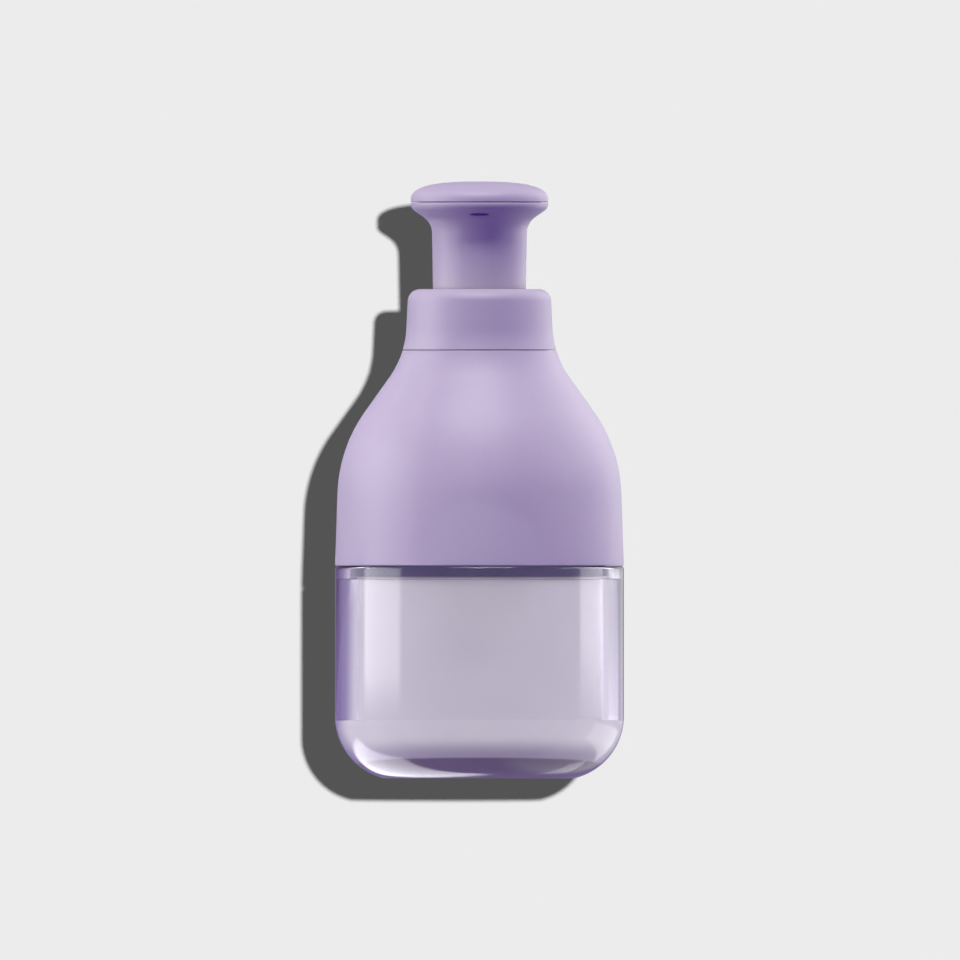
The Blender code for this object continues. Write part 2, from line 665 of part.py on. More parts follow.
def piston_seat(plastic):
    """Valve tip: fluted pin up in the stem, cone that closes the piston, disc and boss for the spring."""
    pin = STEM_BORE - CLEARANCE
    pin_top = STEM_Z + SEAT_PIN_LENGTH
    boss = SPRING_MEAN_RADIUS - SPRING_WIRE / 2 - CLEARANCE
    outline = [
        (0, SEAT_DISC_Z - SEAT_BOSS_DEPTH),
        (boss, SEAT_DISC_Z - SEAT_BOSS_DEPTH),
        (boss, SEAT_DISC_Z),
        (SEAT_DISC_RADIUS, SEAT_DISC_Z),
        (SEAT_DISC_RADIUS, SEAT_DISC_TOP_Z),
        (PISTON_BORE, SEAT_CONE_TOP_Z),
        (pin, SEAT_CONE_TOP_Z),
        (pin, pin_top),
        (0, pin_top),
    ]
    piece = turned("piston_seat", outline, FINE_SEGMENTS, plastic)
    for index in range(SEAT_FLUTES):
        name = f"flute_cutter_{index}"
        high = pin_top + CUT_OVERRUN
        flute = cylinder(name, SEAT_FLUTE_RADIUS, SEAT_CONE_TOP_Z, high, FINE_SEGMENTS, plastic)
        angle = math.tau * index / SEAT_FLUTES
        flute.location.x = pin * math.cos(angle)
        flute.location.y = pin * math.sin(angle)
        boolean(piece, flute, "DIFFERENCE")
    return piece


def return_spring(steel):
    """Compression spring with a closed turn at each end, one unbroken wire."""
    low = BARREL_FLOOR_Z + CLEARANCE + SPRING_WIRE / 2
    high = SEAT_DISC_Z - CLEARANCE - SPRING_WIRE / 2
    closed_pitch = SPRING_WIRE + SPRING_COIL_GAP
    open_rise = high - low - 2 * SPRING_CLOSED_TURNS * closed_pitch
    open_pitch = open_rise / SPRING_ACTIVE_TURNS
    turns = SPRING_ACTIVE_TURNS + 2 * SPRING_CLOSED_TURNS
    count = turns * SPRING_POINTS_PER_TURN
    heights = []
    height = low
    for index in range(count + 1):
        heights.append(height)
        turn = (index + 0.5) / SPRING_POINTS_PER_TURN
        is_open = SPRING_CLOSED_TURNS < turn < turns - SPRING_CLOSED_TURNS
        height += (open_pitch if is_open else closed_pitch) / SPRING_POINTS_PER_TURN
    curve = bpy.data.curves.new("return_spring", "CURVE")
    curve.dimensions = "3D"
    curve.bevel_depth = SPRING_WIRE / 2
    curve.bevel_resolution = 1
    curve.use_fill_caps = True
    spline = curve.splines.new("POLY")
    spline.points.add(count)
    for index, point in enumerate(spline.points):
        angle = math.tau * index / SPRING_POINTS_PER_TURN
        x = SPRING_MEAN_RADIUS * math.cos(angle)
        y = SPRING_MEAN_RADIUS * math.sin(angle)
        point.co = (x, y, heights[index], 1)
    curve.materials.append(steel)
    piece = bpy.data.objects.new("return_spring", curve)
    bpy.context.scene.collection.objects.link(piece)
    least_gap = least_coil_gap(spline.points)
    print("least gap between the turns of the spring, mm:", round(least_gap * 1000, 3))
    return piece


def least_coil_gap(points):
    """The least distance between wires half a turn or more apart."""
    places = [point.co.to_3d() for point in points]
    apart = SPRING_POINTS_PER_TURN // 2
    gaps = [(a - b).length for i, a in enumerate(places) for b in places[i + apart:]]
    return min(gaps) - SPRING_WIRE


def head_corners():
    """The corners of the flared rim and the sleeve, from the parting line down."""
    return [
        (RIM_RADIUS, HEAD_SEAM_Z, 0),
        (RIM_RADIUS, HEAD_SEAM_Z - RIM_DROP, RIM_BEND),
        (SLEEVE_TOP_RADIUS, HEAD_SEAM_Z - SLEEVE_ROOT_DROP, SLEEVE_ROOT_BEND),
        (SLEEVE_BOTTOM_RADIUS, SLEEVE_Z, 0),
    ]


def tray_outline():
    """The hollow under the cap, a wall's thickness inside the rim, from its floor to its top edge."""
    corners = [Vector(corner[:2]) for corner in reversed(head_corners())]
    return between(offset(corners, HEAD_WALL), TRAY_FLOOR_Z, HEAD_SEAM_Z)


def head_body(matte):
    """Flared rim over a long sleeve, with a tray for the duct above and a socket for the stem below."""
    boss_bore = STEM_RADIUS + CLEARANCE
    boss = boss_bore + BOSS_WALL
    outline = [
        *rounded(head_corners()),
        (SLEEVE_BORE, SLEEVE_Z),
        (SLEEVE_BORE, WEB_Z),
        (boss, WEB_Z),
        (boss, WEB_Z - BOSS_DEPTH),
        (boss_bore, WEB_Z - BOSS_DEPTH),
        (boss_bore, TRAY_FLOOR_Z),
        *tray_outline(),
    ]
    piece = turned("head_body", outline, MEDIUM_SEGMENTS, matte)
    reach = RIM_RADIUS + CUT_OVERRUN
    boolean(piece, slot_cutter("slit_cutter", SLIT_HEIGHT, SLEEVE_BORE / 2, reach, matte), "DIFFERENCE")
    return piece


def slot_cutter(name, height, near, far, material):
    """A flat oval bar along -Y at the height of the slit."""
    bar = cylinder(name, 1, near, far, FINE_SEGMENTS, material)
    for vertex in bar.data.vertices:
        across, up, along = vertex.co
        vertex.co = (across * SLIT_WIDTH / 2, -along, SLIT_Z + up * height / 2)
    return bar


def spout_insert(pale):
    """Duct that lies in the tray, its front end shaped to the tray's wall, with a spigot to the stem."""
    mesh = bmesh.new()
    levels = []
    for radius, height in between(offset(tray_outline(), CLEARANCE), SPOUT_Z, SPOUT_TOP_Z):
        front_turn = math.asin(SPOUT_WIDTH / 2 / radius)
        turns = [front_turn * (2 * step / SPOUT_FRONT_STEPS - 1) for step in range(SPOUT_FRONT_STEPS + 1)]
        plan = [(radius * math.sin(turn), -radius * math.cos(turn)) for turn in turns]
        plan += [(SPOUT_WIDTH / 2, SPOUT_BACK), (-SPOUT_WIDTH / 2, SPOUT_BACK)]
        levels.append([mesh.verts.new((*place, height)) for place in plan])
    for lower, upper in zip(levels, levels[1:]):
        for index in range(len(lower)):
            mesh.faces.new((lower[index - 1], lower[index], upper[index], upper[index - 1]))
    mesh.faces.new(levels[0])
    mesh.faces.new(levels[-1])
    piece = finished("spout_insert", mesh, pale)
    spigot_low = SPOUT_Z - SPIGOT_LENGTH
    spigot = cylinder("spigot", STEM_RADIUS, spigot_low, SPOUT_Z + BLEND_OVERLAP, FINE_SEGMENTS, pale)
    boolean(piece, spigot, "UNION")
    elbow_top = SLIT_Z + DUCT_HEIGHT / 4
    drill = cylinder("duct_drill", STEM_BORE, spigot_low - CUT_OVERRUN, elbow_top, FINE_SEGMENTS, pale)
    boolean(piece, drill, "DIFFERENCE")
    boolean(piece, slot_cutter("duct_cutter", DUCT_HEIGHT, 0, RIM_RADIUS, pale), "DIFFERENCE")
    return piece


def head_cap(matte):
    """Crowned cap with a plug ring for the rim and a post that holds the duct down."""
    crown = []
    for step in range(CAP_POINTS):
        angle = math.pi / 2 * step / CAP_POINTS
        across = math.cos(angle) ** (2 / CAP_SQUARENESS)
        up = math.sin(angle) ** (2 / CAP_SQUARENESS)
        crown.append(Vector((RIM_RADIUS * across, CAP_Z + CAP_HEIGHT * up)))
    crown.append(Vector((0, CAP_Z + CAP_HEIGHT)))
    plug_bore = CAP_PLUG_RADIUS - CAP_PLUG_WALL
    ceiling = [point for point in offset(crown, HEAD_WALL) if CAP_POST_RADIUS < point.x < plug_bore]
    ceiling_top = CAP_Z + CAP_HEIGHT - HEAD_WALL
    post_end = SPOUT_TOP_Z + CLEARANCE
    outline = [
        (0, post_end),
        (CAP_POST_RADIUS, post_end),
        (CAP_POST_RADIUS, ceiling_top),
        *reversed(ceiling),
        (plug_bore, CAP_Z - CAP_PLUG_DEPTH),
        (CAP_PLUG_RADIUS, CAP_Z - CAP_PLUG_DEPTH),
        (CAP_PLUG_RADIUS, CAP_Z),
        *crown,
    ]
    return turned("head_cap", outline, MEDIUM_SEGMENTS, matte)


for leftover in list(bpy.data.objects):
    bpy.data.objects.remove(leftover, do_unlink=True)

lavender = material("matte_lavender", (0.46, 0.39, 0.57), 0.55)
clear_violet = material("clear_violet", (0.62, 0.54, 0.80), 0.05, alpha=0.35)
pale_plastic = material("pale_plastic", (0.72, 0.68, 0.78), 0.45)
natural_plastic = material("natural_plastic", (0.85, 0.85, 0.85), 0.4)
white_foam = material("white_foam", (0.9, 0.9, 0.9), 0.9)
spring_steel = material("spring_steel", (0.6, 0.6, 0.62), 0.25, metallic=1.0)

jar(clear_violet)
inner_bottle(pale_plastic)
shoulder_cover(lavender)
collar(lavender)
closure(natural_plastic)
neck_gasket(white_foam)
pump_housing(natural_plastic)
inlet_ball(spring_steel)
dip_tube(natural_plastic)
chaplet(natural_plastic)
stem(natural_plastic)
piston(natural_plastic)
piston_seat(natural_plastic)
return_spring(spring_steel)
spout_insert(natural_plastic)
head_body(lavender)
head_cap(lavender)
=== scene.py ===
# Soap pump bottle in its finished surfaces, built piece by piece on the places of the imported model.
# Metres, +Z up. The bottle stands on z = 0, its axis is x = y = 0 and its outlet slit faces -Y.
import math

import bmesh
import bpy
from mathutils import Matrix, Vector


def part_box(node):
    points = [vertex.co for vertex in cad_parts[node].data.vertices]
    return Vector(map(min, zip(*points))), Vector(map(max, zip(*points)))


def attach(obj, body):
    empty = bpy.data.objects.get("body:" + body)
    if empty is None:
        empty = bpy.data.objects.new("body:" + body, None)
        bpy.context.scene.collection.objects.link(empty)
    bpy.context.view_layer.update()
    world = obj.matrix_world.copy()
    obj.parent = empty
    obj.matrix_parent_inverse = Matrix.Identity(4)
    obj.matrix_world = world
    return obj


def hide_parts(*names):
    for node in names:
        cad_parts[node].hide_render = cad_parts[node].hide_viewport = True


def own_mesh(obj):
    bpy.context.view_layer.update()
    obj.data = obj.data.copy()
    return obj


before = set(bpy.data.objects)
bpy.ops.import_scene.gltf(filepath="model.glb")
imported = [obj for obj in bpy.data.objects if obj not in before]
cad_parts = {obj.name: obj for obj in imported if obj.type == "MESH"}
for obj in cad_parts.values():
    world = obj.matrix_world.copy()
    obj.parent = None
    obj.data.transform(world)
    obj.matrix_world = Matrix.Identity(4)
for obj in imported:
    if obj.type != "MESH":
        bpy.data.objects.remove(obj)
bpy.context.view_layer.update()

# Clear jar
# Heavy injection-moulded acrylic, tinted violet and polished inside and out. It stands on its flat
# foot. The inner bottle drops in from above, and the step in its mouth takes the cover's skirt.
MM = 0.001
SAME_PLACE = MM / 1000
CLEARANCE = 0.3 * MM
ARC_CHORD = 0.5 * MM
MOST_ARC_TURN = math.radians(15)
SHARP_ANGLE = math.radians(32)
ROUND_STEPS = 160
JAR_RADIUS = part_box("jar")[1].x
JAR_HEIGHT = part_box("jar")[1].z
JAR_WALL = 5.4 * MM
JAR_BORE = JAR_RADIUS - JAR_WALL
JAR_FLOOR = 6.2 * MM
JAR_CORNER = 16 * MM
JAR_FOOT = 23.7 * MM
JAR_INNER_CORNER = 4 * MM
JAR_RIM_ROUND = 0.75 * MM
JAR_MOUTH_WALL = 3.5 * MM
MOUTH_BORE = JAR_RADIUS - JAR_MOUTH_WALL
MOUTH_DEPTH = 3.3 * MM
EDGE_ROUND = 0.25 * MM
FLOW_TINTS = (0.96, 0.95, 0.98, 1), (1.0, 0.99, 1.0, 1)
EDGE_TINT = (0.26, 0.19, 0.50, 1)
EDGE_START, EDGE_FULL = 0.60, 0.98
DEPTH_TINT = (0.40, 0.20, 0.78, 1)
DEPTH_DENSITY = 22.0
MOST_HAZE = 0.02


def arc(centre, start, sweep):
    """The points of an arc from its start, as offsets turned about its centre, clockwise positive."""
    radius = start.length
    turn = min(MOST_ARC_TURN, ARC_CHORD / radius)
    steps = max(2, math.ceil(abs(sweep) / turn))
    first = math.atan2(start.y, start.x)
    angles = [first - sweep * step / steps for step in range(steps + 1)]
    return [centre + Vector((math.cos(angle), math.sin(angle))) * radius for angle in angles]


def rounded(corners):
    """The outline through corners (radius, height, bend), each rounded by its bend."""
    points = []
    for index, (radius, height, bend) in enumerate(corners):
        here = Vector((radius, height))
        if bend == 0:
            points.append(here)
            continue
        back = (Vector(corners[index - 1][:2]) - here).normalized()
        ahead = (Vector(corners[(index + 1) % len(corners)][:2]) - here).normalized()
        turn = math.pi - back.angle(ahead)
        reach = bend * math.tan(turn / 2)
        centre = here + (back + ahead).normalized() * bend / math.cos(turn / 2)
        start = here + back * reach - centre
        points += arc(centre, start, start.angle_signed(here + ahead * reach - centre))
    return points


def smoothed(data):
    """Shades a mesh smooth between its sharp edges."""
    data.shade_smooth()
    data.set_sharp_from_angle(angle=SHARP_ANGLE)


def finished(name, mesh, material):
    """The object made from a bmesh, with outward faces, in one material."""
    bmesh.ops.remove_doubles(mesh, verts=mesh.verts, dist=SAME_PLACE)
    bmesh.ops.recalc_face_normals(mesh, faces=mesh.faces)
    data = bpy.data.meshes.new(name)
    mesh.to_mesh(data)
    mesh.free()
    smoothed(data)
    data.materials.append(material)
    piece = bpy.data.objects.new(name, data)
    bpy.context.scene.collection.objects.link(piece)
    return piece


def lathed(outline, steps=ROUND_STEPS):
    """A surface of revolution. The outline is a closed ring, or it ends on the axis."""
    mesh = bmesh.new()
    points = [mesh.verts.new((point[0], 0, point[1])) for point in outline]
    ends = points[1:] if outline[-1][0] == 0 else points[1:] + points[:1]
    edges = [mesh.edges.new(pair) for pair in zip(points, ends)]
    bmesh.ops.spin(
        mesh, geom=points + edges, cent=(0, 0, 0), axis=(0, 0, 1), angle=math.tau, steps=steps, use_merge=True
    )
    return mesh


def turned(name, outline, material, steps=ROUND_STEPS):
    """A body of revolution. The outline is a closed ring, or runs from the axis back to the axis."""
    return finished(name, lathed(outline, steps), material)


class Socket:
    """An output of a node. A sum written on it adds Math nodes, and node() adds any other node."""

    def __init__(self, tree, output=None):
        self.tree = tree
        self.output = output

    def node(self, kind, settings=(), sockets=(), output=0):
        """Adds a node: first its settings, then the values or links of its sockets. Gives one output."""
        made = self.tree.nodes.new(kind)
        for name, value in dict(settings).items():
            setattr(made, name, value)
        for name, value in dict(sockets).items():
            for one in value if isinstance(value, list) else [value]:
                if isinstance(one, Socket):
                    self.tree.links.new(one.output, made.inputs[name])
                else:
                    made.inputs[name].default_value = one
        return Socket(self.tree, made.outputs[output])

    def maths(self, operation, *others):
        """A Math node on this value and the others."""
        return self.node("ShaderNodeMath", {"operation": operation}, dict(enumerate([self, *others])))

    def __add__(self, other):
        return self.maths("ADD", other)

    def __radd__(self, other):
        return self + other

    def __sub__(self, other):
        return self.maths("SUBTRACT", other)

    def __rsub__(self, other):
        return self.node("ShaderNodeMath", {"operation": "SUBTRACT"}, {0: other, 1: self})

    def __mul__(self, other):
        return self.maths("MULTIPLY", other)

    def __rmul__(self, other):
        return self * other

    def __truediv__(self, other):
        return self.maths("DIVIDE", other)

    def __rtruediv__(self, other):
        return self.node("ShaderNodeMath", {"operation": "DIVIDE"}, {0: other, 1: self})

    def faded(self, low, high):
        """0 where this is under low, 1 where it is over high, smooth in between."""
        settings = {"interpolation_type": "SMOOTHSTEP"}
        sockets = {"Value": self, "From Min": low, "From Max": high}
        return self.node("ShaderNodeMapRange", settings, sockets)

    def mixed(self, first, second):
        """The first colour where this is 0, the second where it is 1."""
        return self.node("ShaderNodeMix", {"data_type": "RGBA"}, {0: self, 6: first, 7: second}, 2)


def painted(name, shader_sockets):
    """A new material with one Principled shader, whose constant sockets are set here."""
    made = bpy.data.materials.new(name)
    made.use_nodes = True
    shader = made.node_tree.nodes["Principled BSDF"]
    for socket, value in shader_sockets.items():
        shader.inputs[socket].default_value = value
    return made, shader, Socket(made.node_tree)


def join(paint, socket, shader, name):
    """Feeds one of the shader's sockets."""
    paint.tree.links.new(socket.output, shader.inputs[name])


def noise(paint, scale, detail=2.0):
    """Noise over the piece, from 0 to 1, with features of about 1 / scale metres."""
    where = paint.node("ShaderNodeTexCoord", output="Object")
    return paint.node("ShaderNodeTexNoise", (), {"Vector": where, "Scale": scale, "Detail": detail})


def clear_violet():
    """Tinted clear acrylic: faint flow marks in the tint, deeper at the edge, with hardly any haze."""
    made, shader, paint = painted("clear violet acrylic", {
        "Transmission Weight": 1.0,
        "IOR": 1.49,
        "Specular IOR Level": 0.5,
    })
    flow = noise(paint, 45, 3).mixed(*FLOW_TINTS)
    facing = paint.node("ShaderNodeLayerWeight", (), {"Blend": 0.5}, "Facing")
    join(paint, facing.faded(EDGE_START, EDGE_FULL).mixed(flow, EDGE_TINT), shader, "Base Color")
    join(paint, noise(paint, 160).faded(0.45, 0.8) * MOST_HAZE, shader, "Roughness")
    depth = paint.node("ShaderNodeVolumeAbsorption", (), {"Color": DEPTH_TINT, "Density": DEPTH_DENSITY})
    output = made.node_tree.nodes["Material Output"]
    made.node_tree.links.new(depth.output, output.inputs["Volume"])
    return made


jar_corner_reach = JAR_FOOT - (JAR_RADIUS - JAR_CORNER)
jar_corner_height = math.sqrt(JAR_CORNER**2 - jar_corner_reach**2)
jar_corner_start = Vector((jar_corner_reach, -jar_corner_height))
jar_corner = arc(
    Vector((JAR_RADIUS - JAR_CORNER, jar_corner_height)),
    jar_corner_start,
    jar_corner_start.angle_signed(Vector((1, 0))),
)
jar_wall = rounded([
    (JAR_RADIUS, jar_corner_height, 0),
    (JAR_RADIUS, JAR_HEIGHT, JAR_RIM_ROUND),
    (MOUTH_BORE, JAR_HEIGHT, EDGE_ROUND),
    (MOUTH_BORE, JAR_HEIGHT - MOUTH_DEPTH, 0),
    (JAR_BORE, JAR_HEIGHT - MOUTH_DEPTH, EDGE_ROUND),
    (JAR_BORE, JAR_FLOOR, JAR_INNER_CORNER),
    (0, JAR_FLOOR, 0),
])
clear_jar = turned("clear_jar", [Vector((0, 0)), *jar_corner, *jar_wall[1:]], clear_violet())
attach(clear_jar, "bottle")
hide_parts("jar")

# Inner bottle
# Blown satin plastic in a pale grey, which holds the soap. Its foot fits the corner of the jar,
# its round shoulders run up to a beaded neck, and one and a half turns of thread take the closure.
BOTTLE_PLAY = 0.1 * MM
BOTTLE_RADIUS = JAR_BORE - BOTTLE_PLAY
BOTTLE_WALL = 1.2 * MM
BOTTLE_PRESS = 0.02 * MM
BOTTLE_BASE = JAR_FLOOR - BOTTLE_PRESS
BOTTLE_CORNER = JAR_INNER_CORNER
BOTTLE_FOOT_TOP = 14.5 * MM
BOTTLE_FOOT_EASE = 1.5 * MM
BOTTLE_SIDE_HEIGHT = 64.5 * MM
BOTTLE_SHOULDER_RISE = 13.5 * MM
BOTTLE_SHOULDER_BEND = 12 * MM
NECK_RADIUS = 12.8 * MM
NECK_WALL = 1.8 * MM
NECK_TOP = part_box("inner_bottle")[1].z
NECK_ROOT = BOTTLE_SIDE_HEIGHT + BOTTLE_SHOULDER_RISE
NECK_ROOT_BEND = 3 * MM
NECK_BEAD = NECK_TOP - 13.5 * MM
NECK_BEAD_RADIUS = 15 * MM
NECK_BEAD_HEIGHT = 1.4 * MM
THREAD_TURNS = 1.5
THREAD_PITCH = 4.2 * MM
THREAD_ROUND = 0.8 * MM
NECK_THREAD_LOW = NECK_TOP - 9 * MM
THREAD_STEPS = 96
THREAD_SIDES = 10
THREAD_TAPER = 0.07
THREAD_END = 0.1
SATIN_TONES = (0.86, 0.86, 0.83, 1), (0.90, 0.90, 0.87, 1)
# Painted shade: the foot darkens towards the jar's floor, and the underside is darker still.
FOOT_PAINTED_SHADE = (0.53, 0.48, 0.61, 1)
FOOT_PAINTED_SHADE_REACH = 5 * MM
BASE_PAINTED_SHADE = (0.22, 0.175, 0.27, 1)
BASE_PAINTED_SHADE_REACH = 0.3 * MM
SATIN_DEPTH = 0.01 * MM


def grown(name, base, sizes, recipe, material):
    """The plain mesh that Geometry Nodes make of a base mesh. The recipe reads the sizes by name."""
    tree = bpy.data.node_groups.new(name + " growth", "GeometryNodeTree")
    tree.interface.new_socket("Base", in_out="INPUT", socket_type="NodeSocketGeometry")
    tree.interface.new_socket("Grown", in_out="OUTPUT", socket_type="NodeSocketGeometry")
    for size, value in sizes.items():
        kind = "NodeSocketInt" if isinstance(value, int) else "NodeSocketFloat"
        tree.interface.new_socket(size, in_out="INPUT", socket_type=kind)
    inputs = tree.nodes.new("NodeGroupInput").outputs
    given = {output.name: Socket(tree, output) for output in inputs if output.name}
    whole = recipe(given.pop("Base"), given)
    real = whole.node("GeometryNodeRealizeInstances", (), {0: whole})
    shown = real.node("GeometryNodeSetMaterial", (), {0: real, "Material": material})
    tree.links.new(shown.output, tree.nodes.new("NodeGroupOutput").inputs[0])
    start_data = bpy.data.meshes.new(name)
    base.to_mesh(start_data)
    base.free()
    start = bpy.data.objects.new(name, start_data)
    bpy.context.scene.collection.objects.link(start)
    growth = start.modifiers.new("Growth", "NODES")
    growth.node_group = tree
    for item in tree.interface.items_tree:
        if item.in_out == "INPUT" and item.name in sizes:
            growth[item.identifier] = sizes[item.name]
    evaluated = start.evaluated_get(bpy.context.evaluated_depsgraph_get())
    mesh = bmesh.new()
    mesh.from_mesh(bpy.data.meshes.new_from_object(evaluated))
    bpy.data.objects.remove(start)
    return finished(name, mesh, material)


def wound(base, given, rise, lift, steps, sides, taper=1.0):
    """Adds a round wire that winds about the axis. It climbs by its rise, and every point by its lift."""
    way = base.node("GeometryNodeCurveSpiral", (), {
        "Resolution": steps, "Rotations": given["Turns"], "Height": rise,
        "Start Radius": given["Radius"], "End Radius": given["Radius"],
    })
    shift = base.node("ShaderNodeCombineXYZ", (), {"Z": lift})
    lifted = base.node("GeometryNodeSetPosition", (), {0: way, "Offset": shift})
    round_form = base.node("GeometryNodeCurvePrimitiveCircle", (), {
        "Resolution": sides, "Radius": given["Thickness"],
    })
    wire = base.node("GeometryNodeCurveToMesh", (), {
        "Curve": lifted, "Profile Curve": round_form, "Scale": taper, "Fill Caps": True,
    })
    return base.node("GeometryNodeJoinGeometry", (), {0: [base, wire]})


def with_thread(base, given):
    """Adds a round thread, which runs out at both ends."""
    along = base.node("GeometryNodeSplineParameter", output="Factor")
    from_end = along.maths("MINIMUM", 1 - along)
    taper = from_end.faded(0, THREAD_TAPER) * (1 - THREAD_END) + THREAD_END
    rise = given["Turns"] * given["Pitch"]
    return wound(base, given, rise, given["Low"], THREAD_STEPS, THREAD_SIDES, taper)


def bumped(paint, shader, height, depth):
    """Lets a height pattern, this deep in metres, turn the shader's normal."""
    bump = paint.node("ShaderNodeBump", (), {"Strength": 1.0, "Distance": depth, "Height": height})
    join(paint, bump, shader, "Normal")


def roughened(paint, shader, least, most, scale):
    """Lets a noise move the shader's roughness between these limits."""
    join(paint, least + noise(paint, scale) * (most - least), shader, "Roughness")


def pale_satin():
    """Blown plastic: faintly cloudy, satin to the touch, with painted shade that darkens it towards the base
    it stands on.
    """
    made, shader, paint = painted("pale satin plastic", {"IOR": 1.5})
    cloud = noise(paint, 60, 3).mixed(*SATIN_TONES)
    where = paint.node("ShaderNodeTexCoord", output="Object")
    height = paint.node("ShaderNodeSeparateXYZ", (), {0: where}, "Z")
    # Painted shade: a darker violet over the lowest millimetres of the foot, and darker still on the
    # underside.
    side = height.faded(BOTTLE_BASE, BOTTLE_BASE + FOOT_PAINTED_SHADE_REACH).mixed(FOOT_PAINTED_SHADE, cloud)
    satin_with_painted_shade = height.faded(BOTTLE_BASE, BOTTLE_BASE + BASE_PAINTED_SHADE_REACH).mixed(BASE_PAINTED_SHADE, side)
    join(paint, satin_with_painted_shade, shader, "Base Color")
    roughened(paint, shader, 0.38, 0.48, 900)
    bumped(paint, shader, noise(paint, 1500), SATIN_DEPTH)
    return made


bottle_floor = BOTTLE_BASE + BOTTLE_WALL
pale_bottle = grown("pale_bottle", lathed(rounded([
    (0, BOTTLE_BASE, 0),
    (JAR_BORE + BOTTLE_PRESS, BOTTLE_BASE, BOTTLE_CORNER),
    (JAR_BORE + BOTTLE_PRESS, BOTTLE_FOOT_TOP, 0),
    (BOTTLE_RADIUS, BOTTLE_FOOT_TOP + BOTTLE_FOOT_EASE, 0),
    (BOTTLE_RADIUS, BOTTLE_SIDE_HEIGHT, BOTTLE_SHOULDER_BEND),
    (NECK_RADIUS, NECK_ROOT, NECK_ROOT_BEND),
    (NECK_RADIUS, NECK_BEAD, 0),
    (NECK_BEAD_RADIUS, NECK_BEAD, EDGE_ROUND),
    (NECK_BEAD_RADIUS, NECK_BEAD + NECK_BEAD_HEIGHT, EDGE_ROUND),
    (NECK_RADIUS, NECK_BEAD + NECK_BEAD_HEIGHT, 0),
    (NECK_RADIUS, NECK_TOP, EDGE_ROUND),
    (NECK_RADIUS - NECK_WALL, NECK_TOP, EDGE_ROUND),
    (NECK_RADIUS - NECK_WALL, NECK_ROOT, NECK_ROOT_BEND + NECK_WALL),
    (BOTTLE_RADIUS - BOTTLE_WALL, BOTTLE_SIDE_HEIGHT, BOTTLE_SHOULDER_BEND - BOTTLE_WALL),
    (BOTTLE_RADIUS - BOTTLE_WALL, bottle_floor, BOTTLE_CORNER - BOTTLE_WALL),
    (0, bottle_floor, 0),
])), {
    "Radius": NECK_RADIUS,
    "Low": NECK_THREAD_LOW,
    "Turns": THREAD_TURNS,
    "Pitch": THREAD_PITCH,
    "Thickness": THREAD_ROUND,
}, with_thread, pale_satin())
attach(pale_bottle, "bottle")
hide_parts("inner_bottle")

# Shoulder cover
# Moulded shell in matte lavender. Its inner skirt plugs into the mouth of the jar, its outside swells
# over the bottle's shoulders, and a lip at its top stands round the collar's skirt.
SEAM_GAP = 0.1 * MM
SEAM = JAR_HEIGHT + SEAM_GAP
SHOULDER_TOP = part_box("shoulder_cover")[1].z
COLLAR_FOOT = SHOULDER_TOP + SEAM_GAP
COLLAR_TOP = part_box("collar")[1].z
BULGE = (JAR_RADIUS - 1 * MM, SEAM + 29.4 * MM, 37.2 * MM)
WAIST = (18.6 * MM, SHOULDER_TOP - 1.2 * MM, 23 * MM)
COLLAR_CROWN = (17.8 * MM, COLLAR_TOP, 3.1 * MM)
COLLAR_BORE = 12.2 * MM
COLLAR_BORE_EDGE = 0.5 * MM
COVER_WALL = 2 * MM
COVER_OPENING = 17.2 * MM
COVER_LIP = 2.8 * MM
COVER_LEDGE = 2 * MM
COVER_LINING_FOOT = 4 * MM
SKIRT_PLAY = 1.1 * MM
SKIRT_RADIUS = MOUTH_BORE - SKIRT_PLAY
SKIRT_WALL = 1.5 * MM
DYE_TONES = (0.438, 0.391, 0.425, 1), (0.458, 0.409, 0.445, 1)
GRAIN_TONE = (0.515, 0.465, 0.505, 1)
GRAIN_SHARE = 0.12
GRAIN_DEPTH = 0.012 * MM


def matte_lavender():
    """Spark-eroded matte plastic: one even dye, a fine grain in the surface, faint sink clouds."""
    made, shader, paint = painted("matte lavender plastic", {"IOR": 1.5, "Specular IOR Level": 0.5})
    dye = noise(paint, 35, 3).mixed(*DYE_TONES)
    fleck = noise(paint, 2600, 1).faded(0.3, 0.7) * GRAIN_SHARE
    join(paint, fleck.mixed(dye, GRAIN_TONE), shader, "Base Color")
    roughened(paint, shader, 0.46, 0.56, 700)
    bumped(paint, shader, noise(paint, 5200, 1), GRAIN_DEPTH)
    return made


def flank():
    """The outside of the cover and the collar in one sweep, up to the collar's bore."""
    return rounded([
        (JAR_RADIUS, SEAM, 0),
        BULGE,
        WAIST,
        COLLAR_CROWN,
        (COLLAR_BORE + COLLAR_BORE_EDGE, COLLAR_TOP, 0),
    ])


def at_height(points, height):
    """The point of a rising outline at this height."""
    for first, second in zip(points, points[1:]):
        if first.y < height <= second.y:
            return first.lerp(second, (height - first.y) / (second.y - first.y))
    nearest = min(points, key=lambda point: abs(point.y - height))
    return Vector((nearest.x, height))


def offset(points, distance):
    """The outline moved to the left of its direction by this distance, with mitred corners."""
    sides = [(second - first).orthogonal().normalized() for first, second in zip(points, points[1:])]
    before = [sides[0], *sides]
    after = [*sides, sides[-1]]
    return [point + (a + b) * distance / (1 + a.dot(b)) for point, a, b in zip(points, before, after)]


